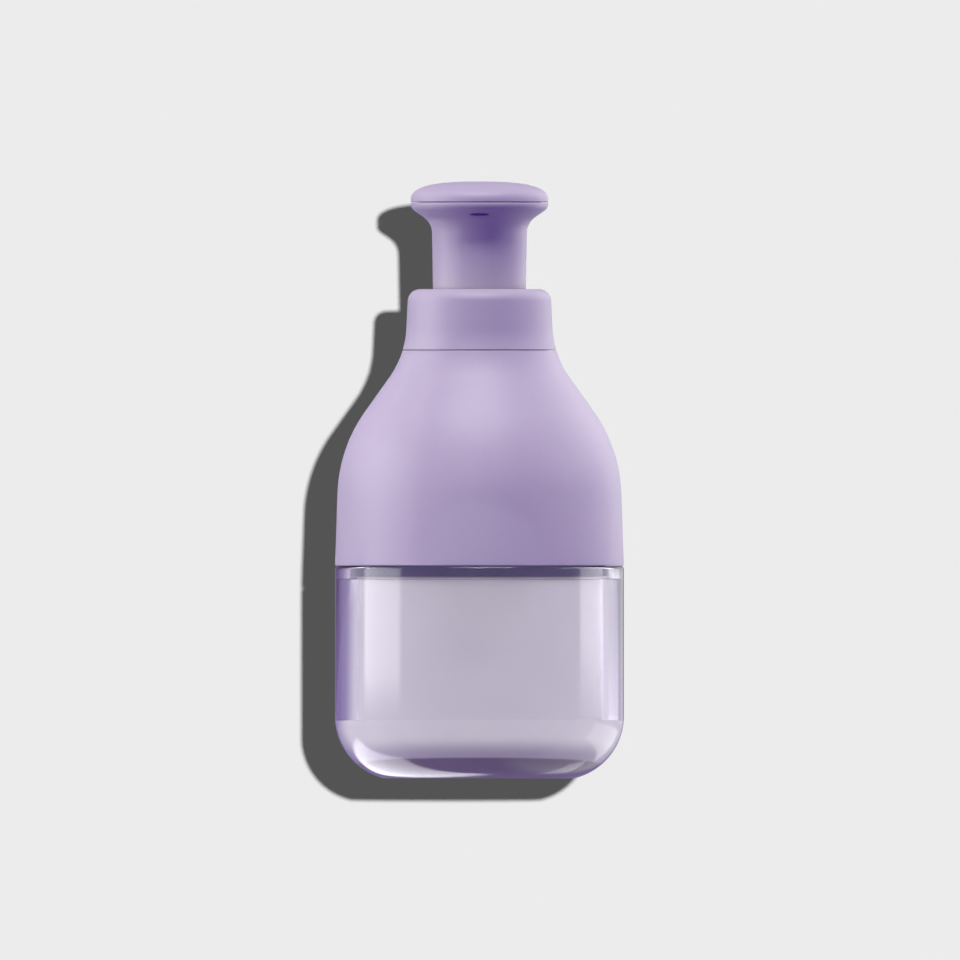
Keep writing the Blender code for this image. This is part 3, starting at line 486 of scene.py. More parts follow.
lavender = matte_lavender()
cover_outside = [point for point in flank() if SEAM + EDGE_ROUND < point.y < SHOULDER_TOP - EDGE_ROUND]
cover_lining = [
    point for point in offset(cover_outside, COVER_WALL)
    if point.x > COVER_OPENING and SEAM + COVER_LINING_FOOT < point.y < SHOULDER_TOP - COVER_LIP
]
skirt_end = JAR_HEIGHT - MOUTH_DEPTH + CLEARANCE
cover_seam_low = at_height(flank(), SEAM).x
cover_seam_high = at_height(flank(), SHOULDER_TOP).x
shoulder_shell = turned("shoulder_shell", [
    *rounded([
        (SKIRT_RADIUS, SEAM, 0),
        (cover_seam_low, SEAM, EDGE_ROUND),
        (*cover_outside[0], 0),
    ])[1:-1],
    *cover_outside,
    *rounded([
        (*cover_outside[-1], 0),
        (cover_seam_high, SHOULDER_TOP, EDGE_ROUND),
        (COVER_OPENING, SHOULDER_TOP, EDGE_ROUND),
        (COVER_OPENING, SHOULDER_TOP - COVER_LIP, 0),
    ])[1:],
    *reversed(cover_lining),
    *rounded([
        (*cover_lining[0], 0),
        (SKIRT_RADIUS - SKIRT_WALL, SEAM + COVER_LEDGE, 0),
        (SKIRT_RADIUS - SKIRT_WALL, skirt_end, EDGE_ROUND),
        (SKIRT_RADIUS, skirt_end, EDGE_ROUND),
        (SKIRT_RADIUS, SEAM, 0),
    ])[1:],
], lavender)
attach(shoulder_shell, "bottle")
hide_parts("shoulder_cover")

# Mouth seal, in painted shade
# Soft ring in deep violet round the cover's skirt; the deep violet is painted shade. It fills the step in the
# jar's mouth, where it shows through the clear wall as a dark band, and it is stretched on before the cover
# is pressed in.
SEAL_WALL = 1 * MM
# Deep violet tones of painted shade, for the dark band in the jar's mouth.
SEAL_PAINTED_SHADE_TONES = (0.066, 0.044, 0.175, 1), (0.080, 0.054, 0.200, 1)


def violet_rubber(name, tones):
    """Soft rubber between two close tones, with a dull skin. Both rubbers here take dark tones that are
    painted shade.
    """
    made, shader, paint = painted(name, {"IOR": 1.5})
    join(paint, noise(paint, 90, 3).mixed(*tones), shader, "Base Color")
    roughened(paint, shader, 0.50, 0.70, 800)
    return made


mouth_seal = turned("mouth_seal", rounded([
    (SKIRT_RADIUS, skirt_end + CLEARANCE, EDGE_ROUND),
    (SKIRT_RADIUS + SEAL_WALL, skirt_end + CLEARANCE, EDGE_ROUND),
    (SKIRT_RADIUS + SEAL_WALL, SEAM - SEAM_GAP, EDGE_ROUND),
    (SKIRT_RADIUS, SEAM - SEAM_GAP, EDGE_ROUND),
]), violet_rubber("deep violet rubber", SEAL_PAINTED_SHADE_TONES))
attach(mouth_seal, "bottle")

# Closure
# Screw cap in undyed polypropylene under the collar. Its thread takes the neck, its top clamps the
# pump's flange on the gasket, and the collar grips the fine ribs round its outside.
CLOSURE_LOW, CLOSURE_TOP = (corner.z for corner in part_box("closure"))
CLOSURE_PLATE = 1.5 * MM
CLOSURE_HOLE = 9.4 * MM
CLOSURE_BORE = 14.3 * MM
CLOSURE_RADIUS = 15.3 * MM
CLOSURE_SHOULDER = 0.6 * MM
CLOSURE_THREAD_RADIUS = 14.5 * MM
CLOSURE_THREAD_ROUND = 0.6 * MM
RIBS = 72
RIB_ROUND = 0.3 * MM
RIB_SIDES = 10
RIB_MARGIN = 0.9 * MM
MILKY_TONES = (0.80, 0.80, 0.78, 1), (0.88, 0.88, 0.87, 1)
MILKY_DEPTH = (1.0 * MM, 0.9 * MM, 0.8 * MM)


def natural_plastic():
    """Undyed polypropylene: milky, waxy, with a faint haze."""
    made, shader, paint = painted("natural polypropylene", {
        "IOR": 1.5,
        "Subsurface Weight": 0.15,
        "Subsurface Radius": MILKY_DEPTH,
    })
    join(paint, noise(paint, 120, 3).mixed(*MILKY_TONES), shader, "Base Color")
    roughened(paint, shader, 0.32, 0.46, 900)
    return made


def with_ribs_and_thread(base, given):
    """Adds upright half-round ribs all round the outside, and the thread inside."""
    places = base.node("GeometryNodeMeshCircle", (), {
        "Vertices": given["Ribs"], "Radius": given["Rib circle"],
    })
    rib = base.node("GeometryNodeMeshCylinder", (), {
        "Vertices": RIB_SIDES, "Radius": given["Rib thickness"], "Depth": given["Rib length"],
    })
    ribs = base.node("GeometryNodeInstanceOnPoints", (), {"Points": places, "Instance": rib})
    shift = base.node("ShaderNodeCombineXYZ", (), {"Z": given["Rib middle"]})
    raised = base.node("GeometryNodeTransform", (), {0: ribs, "Translation": shift})
    return with_thread(base.node("GeometryNodeJoinGeometry", (), {0: [base, raised]}), given)


natural = natural_plastic()
pump_closure = grown("pump_closure", lathed(rounded([
    (CLOSURE_RADIUS, CLOSURE_LOW, EDGE_ROUND),
    (CLOSURE_RADIUS, CLOSURE_TOP, CLOSURE_SHOULDER),
    (CLOSURE_HOLE, CLOSURE_TOP, EDGE_ROUND),
    (CLOSURE_HOLE, CLOSURE_TOP - CLOSURE_PLATE, EDGE_ROUND),
    (CLOSURE_BORE, CLOSURE_TOP - CLOSURE_PLATE, 0),
    (CLOSURE_BORE, CLOSURE_LOW, EDGE_ROUND),
])), {
    "Ribs": RIBS,
    "Rib circle": CLOSURE_RADIUS,
    "Rib thickness": RIB_ROUND,
    "Rib length": CLOSURE_TOP - CLOSURE_LOW - 2 * RIB_MARGIN,
    "Rib middle": (CLOSURE_TOP + CLOSURE_LOW) / 2,
    "Radius": CLOSURE_THREAD_RADIUS,
    "Low": CLOSURE_LOW + RIB_MARGIN,
    "Turns": THREAD_TURNS,
    "Pitch": THREAD_PITCH,
    "Thickness": CLOSURE_THREAD_ROUND,
}, with_ribs_and_thread, natural)
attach(pump_closure, "closure")
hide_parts("closure")

# Collar
# Moulded in the same matte lavender. It continues the line of the cover, guides the sleeve in its
# bore, and its inner skirt grips the ribs of the closure, so that turning it unscrews the pump.
COLLAR_INNER = 15.9 * MM
COLLAR_SKIRT = 16.9 * MM
COLLAR_SKIRT_DROP = 12 * MM
COLLAR_TOP_WALL = 2 * MM
COLLAR_GUIDE_WALL = 1.3 * MM
COLLAR_GUIDE_DEPTH = 5 * MM

collar_outside = [point for point in flank() if point.y > COLLAR_FOOT + EDGE_ROUND]
collar_seam = at_height(flank(), COLLAR_FOOT).x
collar_end = COLLAR_FOOT - COLLAR_SKIRT_DROP
collar_ring = turned("collar_ring", [
    *rounded([
        (COLLAR_SKIRT, COLLAR_FOOT, 0),
        (collar_seam, COLLAR_FOOT, EDGE_ROUND),
        (*collar_outside[0], 0),
    ])[1:-1],
    *collar_outside[:-1],
    *rounded([
        (*collar_outside[-2], 0),
        (COLLAR_BORE, COLLAR_TOP, COLLAR_BORE_EDGE),
        (COLLAR_BORE, COLLAR_TOP - COLLAR_GUIDE_DEPTH, EDGE_ROUND),
        (COLLAR_BORE + COLLAR_GUIDE_WALL, COLLAR_TOP - COLLAR_GUIDE_DEPTH, EDGE_ROUND),
        (COLLAR_BORE + COLLAR_GUIDE_WALL, COLLAR_TOP - COLLAR_TOP_WALL, 0),
        (COLLAR_INNER, COLLAR_TOP - COLLAR_TOP_WALL, 0),
        (COLLAR_INNER, collar_end, EDGE_ROUND),
        (COLLAR_SKIRT, collar_end, EDGE_ROUND),
        (COLLAR_SKIRT, COLLAR_FOOT, 0),
    ])[1:],
], lavender)
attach(collar_ring, "closure")
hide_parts("collar")

# Pump housing
# Stepped barrel in undyed polypropylene, which hangs in the neck by its flange. It holds the piston
# and the spring, has an air hole under the flange, a seat and three stops for the ball, and a socket.
HOUSING_LOW, HOUSING_TOP = (corner.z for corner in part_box("pump_housing"))
FLANGE_LOW = NECK_TOP + 1.6 * MM
FLANGE_TOP = FLANGE_LOW + 1.5 * MM
FLANGE_RADIUS = 12.6 * MM
HOUSING_RIM_RADIUS = 9.1 * MM
BARREL_RADIUS = 8.3 * MM
BARREL_BORE = 7 * MM
BARREL_FLOOR = NECK_TOP - 25.9 * MM
BARREL_FLOOR_BEND = 0.5 * MM
BARREL_MOUTH_BEND = 0.6 * MM
TAPER_LOW = BARREL_FLOOR - 2.6 * MM
TAPER_TOP = BARREL_FLOOR - 1.3 * MM
TAPER_BEND = 0.8 * MM
FLANGE_BEND = 0.4 * MM
CHAMBER_BORE = 3 * MM
CHAMBER_FLOOR = BARREL_FLOOR - 7 * MM
BALL_SEAT_BORE = 1.4 * MM
BALL_SEAT = CHAMBER_FLOOR - 1.6 * MM
SOCKET_TOP = BALL_SEAT - 1.2 * MM
SOCKET_BORE = 2.7 * MM
SOCKET_RADIUS = 4.4 * MM
AIR_HOLE = 1.2 * MM
AIR_HOLE_HEIGHT = FLANGE_LOW - 3 * MM
BALL_STOPS = 3
BALL_STOP = 0.8 * MM
BALL_STOP_HEIGHT = CHAMBER_FLOOR + 4.73 * MM
BALL_STOP_INNER = 1.8 * MM
BALL_STOP_OUTER = 3.4 * MM
BARREL_STEPS = 96
BAR_STEPS = 48


def cut(piece, tool, operation="DIFFERENCE"):
    """Cuts a tool out of a piece, or joins it on, and removes the tool."""
    modifier = piece.modifiers.new("Cut", "BOOLEAN")
    modifier.operation = operation
    modifier.solver = "EXACT"
    modifier.object = tool
    evaluated = piece.evaluated_get(bpy.context.evaluated_depsgraph_get())
    data = bpy.data.meshes.new_from_object(evaluated)
    piece.modifiers.clear()
    piece.data = data
    smoothed(data)
    bpy.data.objects.remove(tool)


def oval_bar(name, width, height, near, far, level, material, turn=0):
    """A flat oval bar along -Y, or turned from there about the bottle's axis."""
    bar = turned(name, [(0, near), (1, near), (1, far), (0, far)], material, BAR_STEPS)
    for vertex in bar.data.vertices:
        across, up, along = vertex.co
        sideways = Vector((across * width / 2, -along))
        sideways.rotate(Matrix.Rotation(turn, 2))
        vertex.co = (*sideways, level + up * height / 2)
    return bar


pump_barrel = turned("pump_barrel", rounded([
    (SOCKET_RADIUS, HOUSING_LOW, EDGE_ROUND),
    (SOCKET_RADIUS, TAPER_LOW, TAPER_BEND),
    (BARREL_RADIUS, TAPER_TOP, TAPER_BEND),
    (BARREL_RADIUS, FLANGE_LOW, FLANGE_BEND),
    (FLANGE_RADIUS, FLANGE_LOW, EDGE_ROUND),
    (FLANGE_RADIUS, FLANGE_TOP, EDGE_ROUND),
    (HOUSING_RIM_RADIUS, FLANGE_TOP, FLANGE_BEND),
    (HOUSING_RIM_RADIUS, HOUSING_TOP, EDGE_ROUND),
    (BARREL_BORE, HOUSING_TOP, BARREL_MOUTH_BEND),
    (BARREL_BORE, BARREL_FLOOR, BARREL_FLOOR_BEND),
    (CHAMBER_BORE, BARREL_FLOOR, EDGE_ROUND),
    (CHAMBER_BORE, CHAMBER_FLOOR, 0),
    (BALL_SEAT_BORE, BALL_SEAT, 0),
    (BALL_SEAT_BORE, SOCKET_TOP, EDGE_ROUND),
    (SOCKET_BORE, SOCKET_TOP, 0),
    (SOCKET_BORE, HOUSING_LOW, EDGE_ROUND),
]), natural, BARREL_STEPS)
cut(pump_barrel, oval_bar(
    "air_hole_tool", AIR_HOLE, AIR_HOLE, CHAMBER_BORE, FLANGE_RADIUS, AIR_HOLE_HEIGHT, natural, math.pi / 2
))
for stop in range(BALL_STOPS):
    cut(pump_barrel, oval_bar(
        "ball_stop", BALL_STOP, BALL_STOP, BALL_STOP_INNER, BALL_STOP_OUTER, BALL_STOP_HEIGHT,
        natural, math.tau * stop / BALL_STOPS + math.pi / 2,
    ), "UNION")
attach(pump_barrel, "pump")
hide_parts("pump_housing")

# Inlet ball
# Loose steel ball, ground and polished. It lies on the cone over the socket and lifts to let soap in.
BALL_LOW, BALL_TOP = (corner.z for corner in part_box("inlet_ball"))
BALL_RADIUS = (BALL_TOP - BALL_LOW) / 2
BALL_MIDDLE = BALL_LOW + BALL_RADIUS
BALL_RINGS = 32
BALL_STEPS = 48
STEEL_TONES = (0.56, 0.56, 0.57, 1), (0.66, 0.66, 0.67, 1)


def polished_steel():
    """Drawn and polished stainless steel."""
    made, shader, paint = painted("stainless steel", {"Metallic": 1.0})
    join(paint, noise(paint, 800, 3).mixed(*STEEL_TONES), shader, "Base Color")
    roughened(paint, shader, 0.18, 0.34, 2500)
    return made


steel = polished_steel()
ball_angles = [math.pi * ring / BALL_RINGS for ring in range(BALL_RINGS)]
valve_ball = turned("valve_ball", [
    *((BALL_RADIUS * math.sin(angle), BALL_MIDDLE - BALL_RADIUS * math.cos(angle)) for angle in ball_angles),
    (0, BALL_MIDDLE + BALL_RADIUS),
], steel, BALL_STEPS)
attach(valve_ball, "ball")
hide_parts("inlet_ball")

# Dip tube
# Extruded polypropylene tube, pushed into the housing's socket. It reaches nearly to the floor of the
# inner bottle, where it is cut off aslant so that it can't close itself against the floor.
TUBE_RADIUS = 2.4 * MM
TUBE_BORE = 1.7 * MM
TUBE_SLANT = math.tan(math.radians(40))
TUBE_LOW, TUBE_TOP = (corner.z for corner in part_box("dip_tube"))
THIN_EDGE = 0.15 * MM
ROD_STEPS = 64

suction_tube = turned("suction_tube", rounded([
    (TUBE_RADIUS, TUBE_LOW, 0),
    (TUBE_RADIUS, TUBE_TOP, THIN_EDGE),
    (TUBE_BORE, TUBE_TOP, THIN_EDGE),
    (TUBE_BORE, TUBE_LOW, 0),
]), natural, ROD_STEPS)
for vertex in suction_tube.data.vertices:
    if vertex.co.z < TUBE_LOW + THIN_EDGE:
        vertex.co.z += (vertex.co.x + TUBE_RADIUS) * TUBE_SLANT
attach(suction_tube, "pump")
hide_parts("dip_tube")

# Neck gasket
# Ring punched from white closed-cell foam sheet. It lies between the neck and the pump's flange.
GASKET_LOW, GASKET_TOP = (corner.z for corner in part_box("neck_gasket"))
GASKET_INNER = 9 * MM
FOAM_EDGE = 0.2 * MM
FOAM_TONES = (0.92, 0.92, 0.91, 1), (0.80, 0.80, 0.79, 1)
CELL_DEPTH = 0.05 * MM


def white_foam():
    """Closed-cell foam sheet."""
    made, shader, paint = painted("white foam", {"IOR": 1.4})
    cells = paint.node("ShaderNodeTexVoronoi", (), {"Scale": 3500.0})
    join(paint, cells.mixed(*FOAM_TONES), shader, "Base Color")
    roughened(paint, shader, 0.80, 0.95, 900)
    bumped(paint, shader, cells, CELL_DEPTH)
    return made


foam_gasket = turned("foam_gasket", rounded([
    (FLANGE_RADIUS, GASKET_LOW, FOAM_EDGE),
    (FLANGE_RADIUS, GASKET_TOP, FOAM_EDGE),
    (GASKET_INNER, GASKET_TOP, FOAM_EDGE),
    (GASKET_INNER, GASKET_LOW, FOAM_EDGE),
]), white_foam(), BARREL_STEPS)
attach(foam_gasket, "pump")
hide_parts("neck_gasket")

# Return spring
# Wound from stainless steel wire, with one closed turn at each end. It stands on the barrel's floor
# and lifts the valve tip, the stem and the head again after each stroke.
WIRE = 0.8 * MM
SPRING_RADIUS = 4.45 * MM
SPRING_LOW, SPRING_TOP = (corner.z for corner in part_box("return_spring"))
SPRING_TURNS = 7
CLOSED_PITCH = 1.25 * MM
SPRING_RISE = SPRING_TOP - SPRING_LOW - WIRE
OPEN_PITCH = (SPRING_RISE - 2 * CLOSED_PITCH) / (SPRING_TURNS - 2)
COIL_STEPS = 48
WIRE_SIDES = 10


def coiled(base, given):
    """A coil of wire that starts and ends in one closed turn."""
    turns = base.node("GeometryNodeSplineParameter", output="Factor") * given["Turns"]
    ends = turns.maths("MINIMUM", 1) + (turns - (given["Turns"] - 1)).maths("MAXIMUM", 0)
    height = ends * given["Closed pitch"] + (turns - ends) * given["Open pitch"] + given["Low"]
    return wound(base, given, 0.0, height, COIL_STEPS, WIRE_SIDES)


wire_spring = grown("wire_spring", bmesh.new(), {
    "Radius": SPRING_RADIUS,
    "Thickness": WIRE / 2,
    "Low": SPRING_LOW + WIRE / 2,
    "Turns": float(SPRING_TURNS),
    "Closed pitch": CLOSED_PITCH,
    "Open pitch": OPEN_PITCH,
}, coiled, steel)
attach(wire_spring, "pump")
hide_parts("return_spring")
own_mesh(wire_spring)

# Piston
# Soft polyethylene ring on the stem with two thin lips, one up and one down, which wipe the barrel.
# It slides a little on the stem, so that it opens and shuts the stem's ports.
PISTON_LOW, PISTON_TOP = (corner.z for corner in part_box("piston"))
PISTON_BORE = 2.9 * MM
PISTON_HUB = 4.1 * MM
PISTON_WAIST = 6.5 * MM
PISTON_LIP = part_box("piston")[1].x
PISTON_LIP_INSIDE = 5.9 * MM
PISTON_LIP_EDGE = 0.35 * MM
PISTON_LIP_LOW = PISTON_LOW + 0.3 * MM
PISTON_LIP_TOP = PISTON_TOP - 0.2 * MM
PISTON_WEB_LOW = PISTON_LOW + 2.7 * MM
PISTON_WEB_TOP = PISTON_WEB_LOW + 1.2 * MM
PISTON_EDGE = 0.1 * MM
PISTON_WEB_BEND = 0.3 * MM

lipped_piston = turned("lipped_piston", rounded([
    (PISTON_BORE, PISTON_LOW, PISTON_EDGE),
    (PISTON_HUB, PISTON_LOW, EDGE_ROUND),
    (PISTON_HUB, PISTON_WEB_LOW, PISTON_WEB_BEND),
    (PISTON_LIP_INSIDE, PISTON_WEB_LOW, PISTON_WEB_BEND),
    (PISTON_LIP - PISTON_LIP_EDGE, PISTON_LIP_LOW, PISTON_EDGE),
    (PISTON_LIP, PISTON_LIP_LOW, PISTON_EDGE),
    (PISTON_WAIST, PISTON_WEB_LOW, 0),
    (PISTON_WAIST, PISTON_WEB_TOP, 0),
    (PISTON_LIP, PISTON_LIP_TOP, PISTON_EDGE),
    (PISTON_LIP - PISTON_LIP_EDGE, PISTON_LIP_TOP, PISTON_EDGE),
    (PISTON_LIP_INSIDE, PISTON_WEB_TOP, PISTON_WEB_BEND),
    (PISTON_HUB, PISTON_WEB_TOP, PISTON_WEB_BEND),
    (PISTON_HUB, PISTON_TOP, EDGE_ROUND),
    (PISTON_BORE, PISTON_TOP, PISTON_EDGE),
]), natural, BARREL_STEPS)
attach(lipped_piston, "piston")
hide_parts("piston")

# Valve tip
# Polypropylene pin pressed up into the stem. Its cone shuts the piston from below, soap flows up its
# four flutes, and its disc stands on the spring.
TIP_LOW, TIP_TOP = (corner.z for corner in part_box("piston_seat"))
TIP_PIN = 1.6 * MM
TIP_BOSS = 3.75 * MM
TIP_DISC = 5.2 * MM
TIP_DISC_LOW = TIP_LOW + 1.2 * MM
TIP_DISC_TOP = TIP_LOW + 2.4 * MM
TIP_CONE = 2.9 * MM
TIP_CONE_TOP = TIP_LOW + 3.3 * MM
TIP_EDGE = 0.1 * MM
TIP_FLUTES = 4
TIP_FLUTE = 1 * MM
TIP_FLUTE_LOW = TIP_LOW + 3.6 * MM

valve_tip = turned("valve_tip", rounded([
    (0, TIP_LOW, 0),
    (TIP_BOSS, TIP_LOW, EDGE_ROUND),
    (TIP_BOSS, TIP_DISC_LOW, 0),
    (TIP_DISC, TIP_DISC_LOW, EDGE_ROUND),
    (TIP_DISC, TIP_DISC_TOP, EDGE_ROUND),
    (TIP_CONE, TIP_CONE_TOP, TIP_EDGE),
    (TIP_PIN, TIP_CONE_TOP, TIP_EDGE),
    (TIP_PIN, TIP_TOP, EDGE_ROUND),
    (0, TIP_TOP, 0),
]), natural, ROD_STEPS)
for flute in range(TIP_FLUTES):
    around = math.tau * flute / TIP_FLUTES
    groove = oval_bar("flute_tool", TIP_FLUTE, TIP_FLUTE, 0, TIP_TOP - TIP_LOW, 0, natural)
    # Standing the bar upright mirrors it, so its faces are turned outwards again.
    for vertex in groove.data.vertices:
        across, along, up = vertex.co
        vertex.co = (
            across + TIP_PIN * math.cos(around),
            up + TIP_PIN * math.sin(around),
            TIP_FLUTE_LOW - along,
        )
    groove.data.flip_normals()
    cut(valve_tip, groove)
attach(valve_tip, "head")
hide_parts("piston_seat")

# Stem
# Polypropylene tube from the piston up into the head's boss, thinner where the piston rides. Two
# ports across it, just over the valve tip, let the soap in.
STEM_LOW, STEM_TOP = (corner.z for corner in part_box("stem"))
STEM_RADIUS = 3.3 * MM
STEM_THIN = 2.6 * MM
STEM_BORE = 1.9 * MM
STEM_STEP = STEM_LOW + 7.3 * MM
STEM_PORT = 1.4 * MM
STEM_PORT_HEIGHT = STEM_LOW + 1.2 * MM
STEM_PORT_REACH = 1.5 * STEM_RADIUS

hollow_stem = turned("hollow_stem", rounded([
    (STEM_THIN, STEM_LOW, THIN_EDGE),
    (STEM_THIN, STEM_STEP, 0),
    (STEM_RADIUS, STEM_STEP, EDGE_ROUND),
    (STEM_RADIUS, STEM_TOP, EDGE_ROUND),
    (STEM_BORE, STEM_TOP, THIN_EDGE),
    (STEM_BORE, STEM_LOW, THIN_EDGE),
]), natural, ROD_STEPS)
cut(hollow_stem, oval_bar(
    "port_tool", STEM_PORT, STEM_PORT, -STEM_PORT_REACH, STEM_PORT_REACH, STEM_PORT_HEIGHT,
    natural, math.pi / 2,
))
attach(hollow_stem, "head")
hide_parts("stem")

# Chaplet
# Polypropylene lid snapped over the top of the housing. It guides the stem, keeps the piston in, and
# reaches down inside the barrel in a short tube.
CHAPLET_LOW, CHAPLET_TOP = (corner.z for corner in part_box("chaplet"))
CHAPLET_PLATE = CHAPLET_TOP - 1.2 * MM
CHAPLET_SKIRT = CHAPLET_TOP - 3.3 * MM
CHAPLET_PLUG_END = CHAPLET_PLATE - 3.8 * MM
CHAPLET_RADIUS = 10.1 * MM
CHAPLET_SHOULDER = 0.8 * MM
CHAPLET_SKIRT_BORE = 9.4 * MM
CHAPLET_PLUG = 6.7 * MM
CHAPLET_PLUG_BORE = 5.7 * MM
CHAPLET_GUIDE = 4.8 * MM
CHAPLET_BORE = 3.6 * MM

guide_lid = turned("guide_lid", rounded([
    (CHAPLET_RADIUS, CHAPLET_SKIRT, THIN_EDGE),
    (CHAPLET_RADIUS, CHAPLET_TOP, CHAPLET_SHOULDER),
    (CHAPLET_BORE, CHAPLET_TOP, EDGE_ROUND),
    (CHAPLET_BORE, CHAPLET_LOW, EDGE_ROUND),
    (CHAPLET_GUIDE, CHAPLET_LOW, EDGE_ROUND),
    (CHAPLET_GUIDE, CHAPLET_PLATE, THIN_EDGE),
    (CHAPLET_PLUG_BORE, CHAPLET_PLATE, THIN_EDGE),
    (CHAPLET_PLUG_BORE, CHAPLET_PLUG_END, THIN_EDGE),
    (CHAPLET_PLUG, CHAPLET_PLUG_END, THIN_EDGE),
    (CHAPLET_PLUG, CHAPLET_PLATE, THIN_EDGE),
    (CHAPLET_SKIRT_BORE, CHAPLET_PLATE, THIN_EDGE),
    (CHAPLET_SKIRT_BORE, CHAPLET_SKIRT, THIN_EDGE),
]), natural, BARREL_STEPS)
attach(guide_lid, "pump")
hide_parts("chaplet")

# Pump head
# One matte lavender moulding: a flared rim over a long sleeve that slides in the collar, a boss for
# the stem inside, a shallow tray on top for the duct, and the outlet slit under the front of the rim.
SLEEVE_END, HEAD_SEAM = (corner.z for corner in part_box("head_body"))
RIM_RADIUS = 17.2 * MM
RIM = (RIM_RADIUS, HEAD_SEAM - 1.4 * MM, 2 * MM)
SLEEVE_ROOT = (11.9 * MM, HEAD_SEAM - 5.1 * MM, 5 * MM)
SLEEVE_FOOT = 11.5 * MM
SLEEVE_BORE = 10.3 * MM
HEAD_WALL = 1.6 * MM
TRAY_FLOOR = HEAD_SEAM - 4.9 * MM
WEB_UNDERSIDE = TRAY_FLOOR - 1.8 * MM
BOSS_RADIUS = 5.2 * MM
BOSS_BORE = 3.6 * MM
BOSS_END = WEB_UNDERSIDE - 9 * MM
SLIT_WIDTH = 5 * MM
SLIT_HEIGHT = 0.8 * MM
SLIT_LEVEL = HEAD_SEAM - 3 * MM
PAST_RIM = 1.2 * RIM_RADIUS

head_corners = [(SLEEVE_FOOT, SLEEVE_END, 0), SLEEVE_ROOT, RIM, (RIM_RADIUS, HEAD_SEAM, 0)]
head_outside = rounded(head_corners)
tray_wall = offset([Vector(corner[:2]) for corner in head_corners], HEAD_WALL)
tray_low = at_height(tray_wall, TRAY_FLOOR)
head_shell = turned("head_shell", rounded([
    (RIM_RADIUS, HEAD_SEAM, EDGE_ROUND),
    RIM,
    SLEEVE_ROOT,
    (SLEEVE_FOOT, SLEEVE_END, EDGE_ROUND),
    (SLEEVE_BORE, SLEEVE_END, EDGE_ROUND),
    (SLEEVE_BORE, WEB_UNDERSIDE, 0),
    (BOSS_RADIUS, WEB_UNDERSIDE, 0),
    (BOSS_RADIUS, BOSS_END, EDGE_ROUND),
    (BOSS_BORE, BOSS_END, EDGE_ROUND),
    (BOSS_BORE, TRAY_FLOOR, EDGE_ROUND),
    (tray_low.x, TRAY_FLOOR, 0),
    (tray_wall[2].x, tray_wall[2].y, 0),
    (tray_wall[3].x, HEAD_SEAM, EDGE_ROUND),
]), lavender)
cut(head_shell, oval_bar(
    "slit_tool", SLIT_WIDTH, SLIT_HEIGHT, SLEEVE_BORE / 2, PAST_RIM, SLIT_LEVEL, lavender
))
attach(head_shell, "head")
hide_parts("head_body")

# Spout duct
# Polypropylene block in the tray of the head. A short pipe under it plugs into the boss over the stem,
# its channel turns the soap forward to the slit, and its front follows the wall of the tray.
DUCT_LOW, DUCT_TOP = (corner.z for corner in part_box("spout_insert"))
DUCT_BLOCK = TRAY_FLOOR + CLEARANCE
DUCT_WIDTH = 7 * MM
DUCT_BACK = 4.2 * MM
DUCT_EDGE = 0.3 * MM
DUCT_PIPE = 3.3 * MM
DUCT_BORE = 3.8 * MM
CHANNEL_WIDTH = 5 * MM
CHANNEL_HEIGHT = 1.5 * MM
DUCT_CORNER = 1 * MM
DUCT_CORNER_TURN = math.pi / 6
DUCT_OVERRUN = 1 * MM
DUCT_LEVELS = 12
DUCT_EDGE_LEVELS = {0.02, 0.05, 0.95, 0.98}
DUCT_STEPS = 24


def duct_ring(level):
    """The outline of the duct block at a share of its height, seen from above."""
    height = DUCT_BLOCK + (DUCT_TOP - DUCT_BLOCK) * level
    past = max(0, DUCT_EDGE - min(height - DUCT_BLOCK, DUCT_TOP - height))
    inset = DUCT_EDGE - math.sqrt(max(0, DUCT_EDGE**2 - past**2))
    reach = at_height(tray_wall, height).x - CLEARANCE - inset
    half = DUCT_WIDTH / 2 - inset
    back = DUCT_BACK - inset
    ring = []
    for step in range(DUCT_STEPS + 1):
        x = half * math.cos(math.pi * step / DUCT_STEPS)
        ring.append((x, -math.sqrt(reach**2 - x**2), height))
    for side, steps in ((-1, (3, 2, 1, 0)), (1, (0, 1, 2, 3))):
        for step in steps:
            angle = DUCT_CORNER_TURN * step
            x = half - DUCT_CORNER + DUCT_CORNER * math.sin(angle)
            ring.append((side * x, back - DUCT_CORNER + DUCT_CORNER * math.cos(angle), height))
    return ring


def lofted(rings):
    """A closed body through rings of points."""
    mesh = bmesh.new()
    loops = [[mesh.verts.new(point) for point in ring] for ring in rings]
    for low, high in zip(loops, loops[1:]):
        for index in range(len(low)):
            mesh.faces.new((low[index - 1], low[index], high[index], high[index - 1]))
    mesh.faces.new(loops[0])
    mesh.faces.new(loops[-1])
    return mesh


def round_rod(name, radius, low, top, steps):
    """An upright rod on the bottle's axis."""
    return turned(name, [(0, low), (radius, low), (radius, top), (0, top)], natural, steps)


duct_levels = {level / DUCT_LEVELS for level in range(DUCT_LEVELS + 1)} | DUCT_EDGE_LEVELS
duct_block = finished("duct_block", lofted([duct_ring(level) for level in sorted(duct_levels)]), natural)
cut(duct_block, round_rod("pipe_tool", DUCT_PIPE, DUCT_LOW, SLIT_LEVEL, ROD_STEPS), "UNION")
cut(duct_block, round_rod("bore_tool", DUCT_BORE / 2, DUCT_LOW - DUCT_OVERRUN, SLIT_LEVEL, BAR_STEPS))
cut(duct_block, oval_bar(
    "channel_tool", CHANNEL_WIDTH, CHANNEL_HEIGHT, -DUCT_BORE / 2, PAST_RIM, SLIT_LEVEL, natural
))
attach(duct_block, "head")
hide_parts("spout_insert")

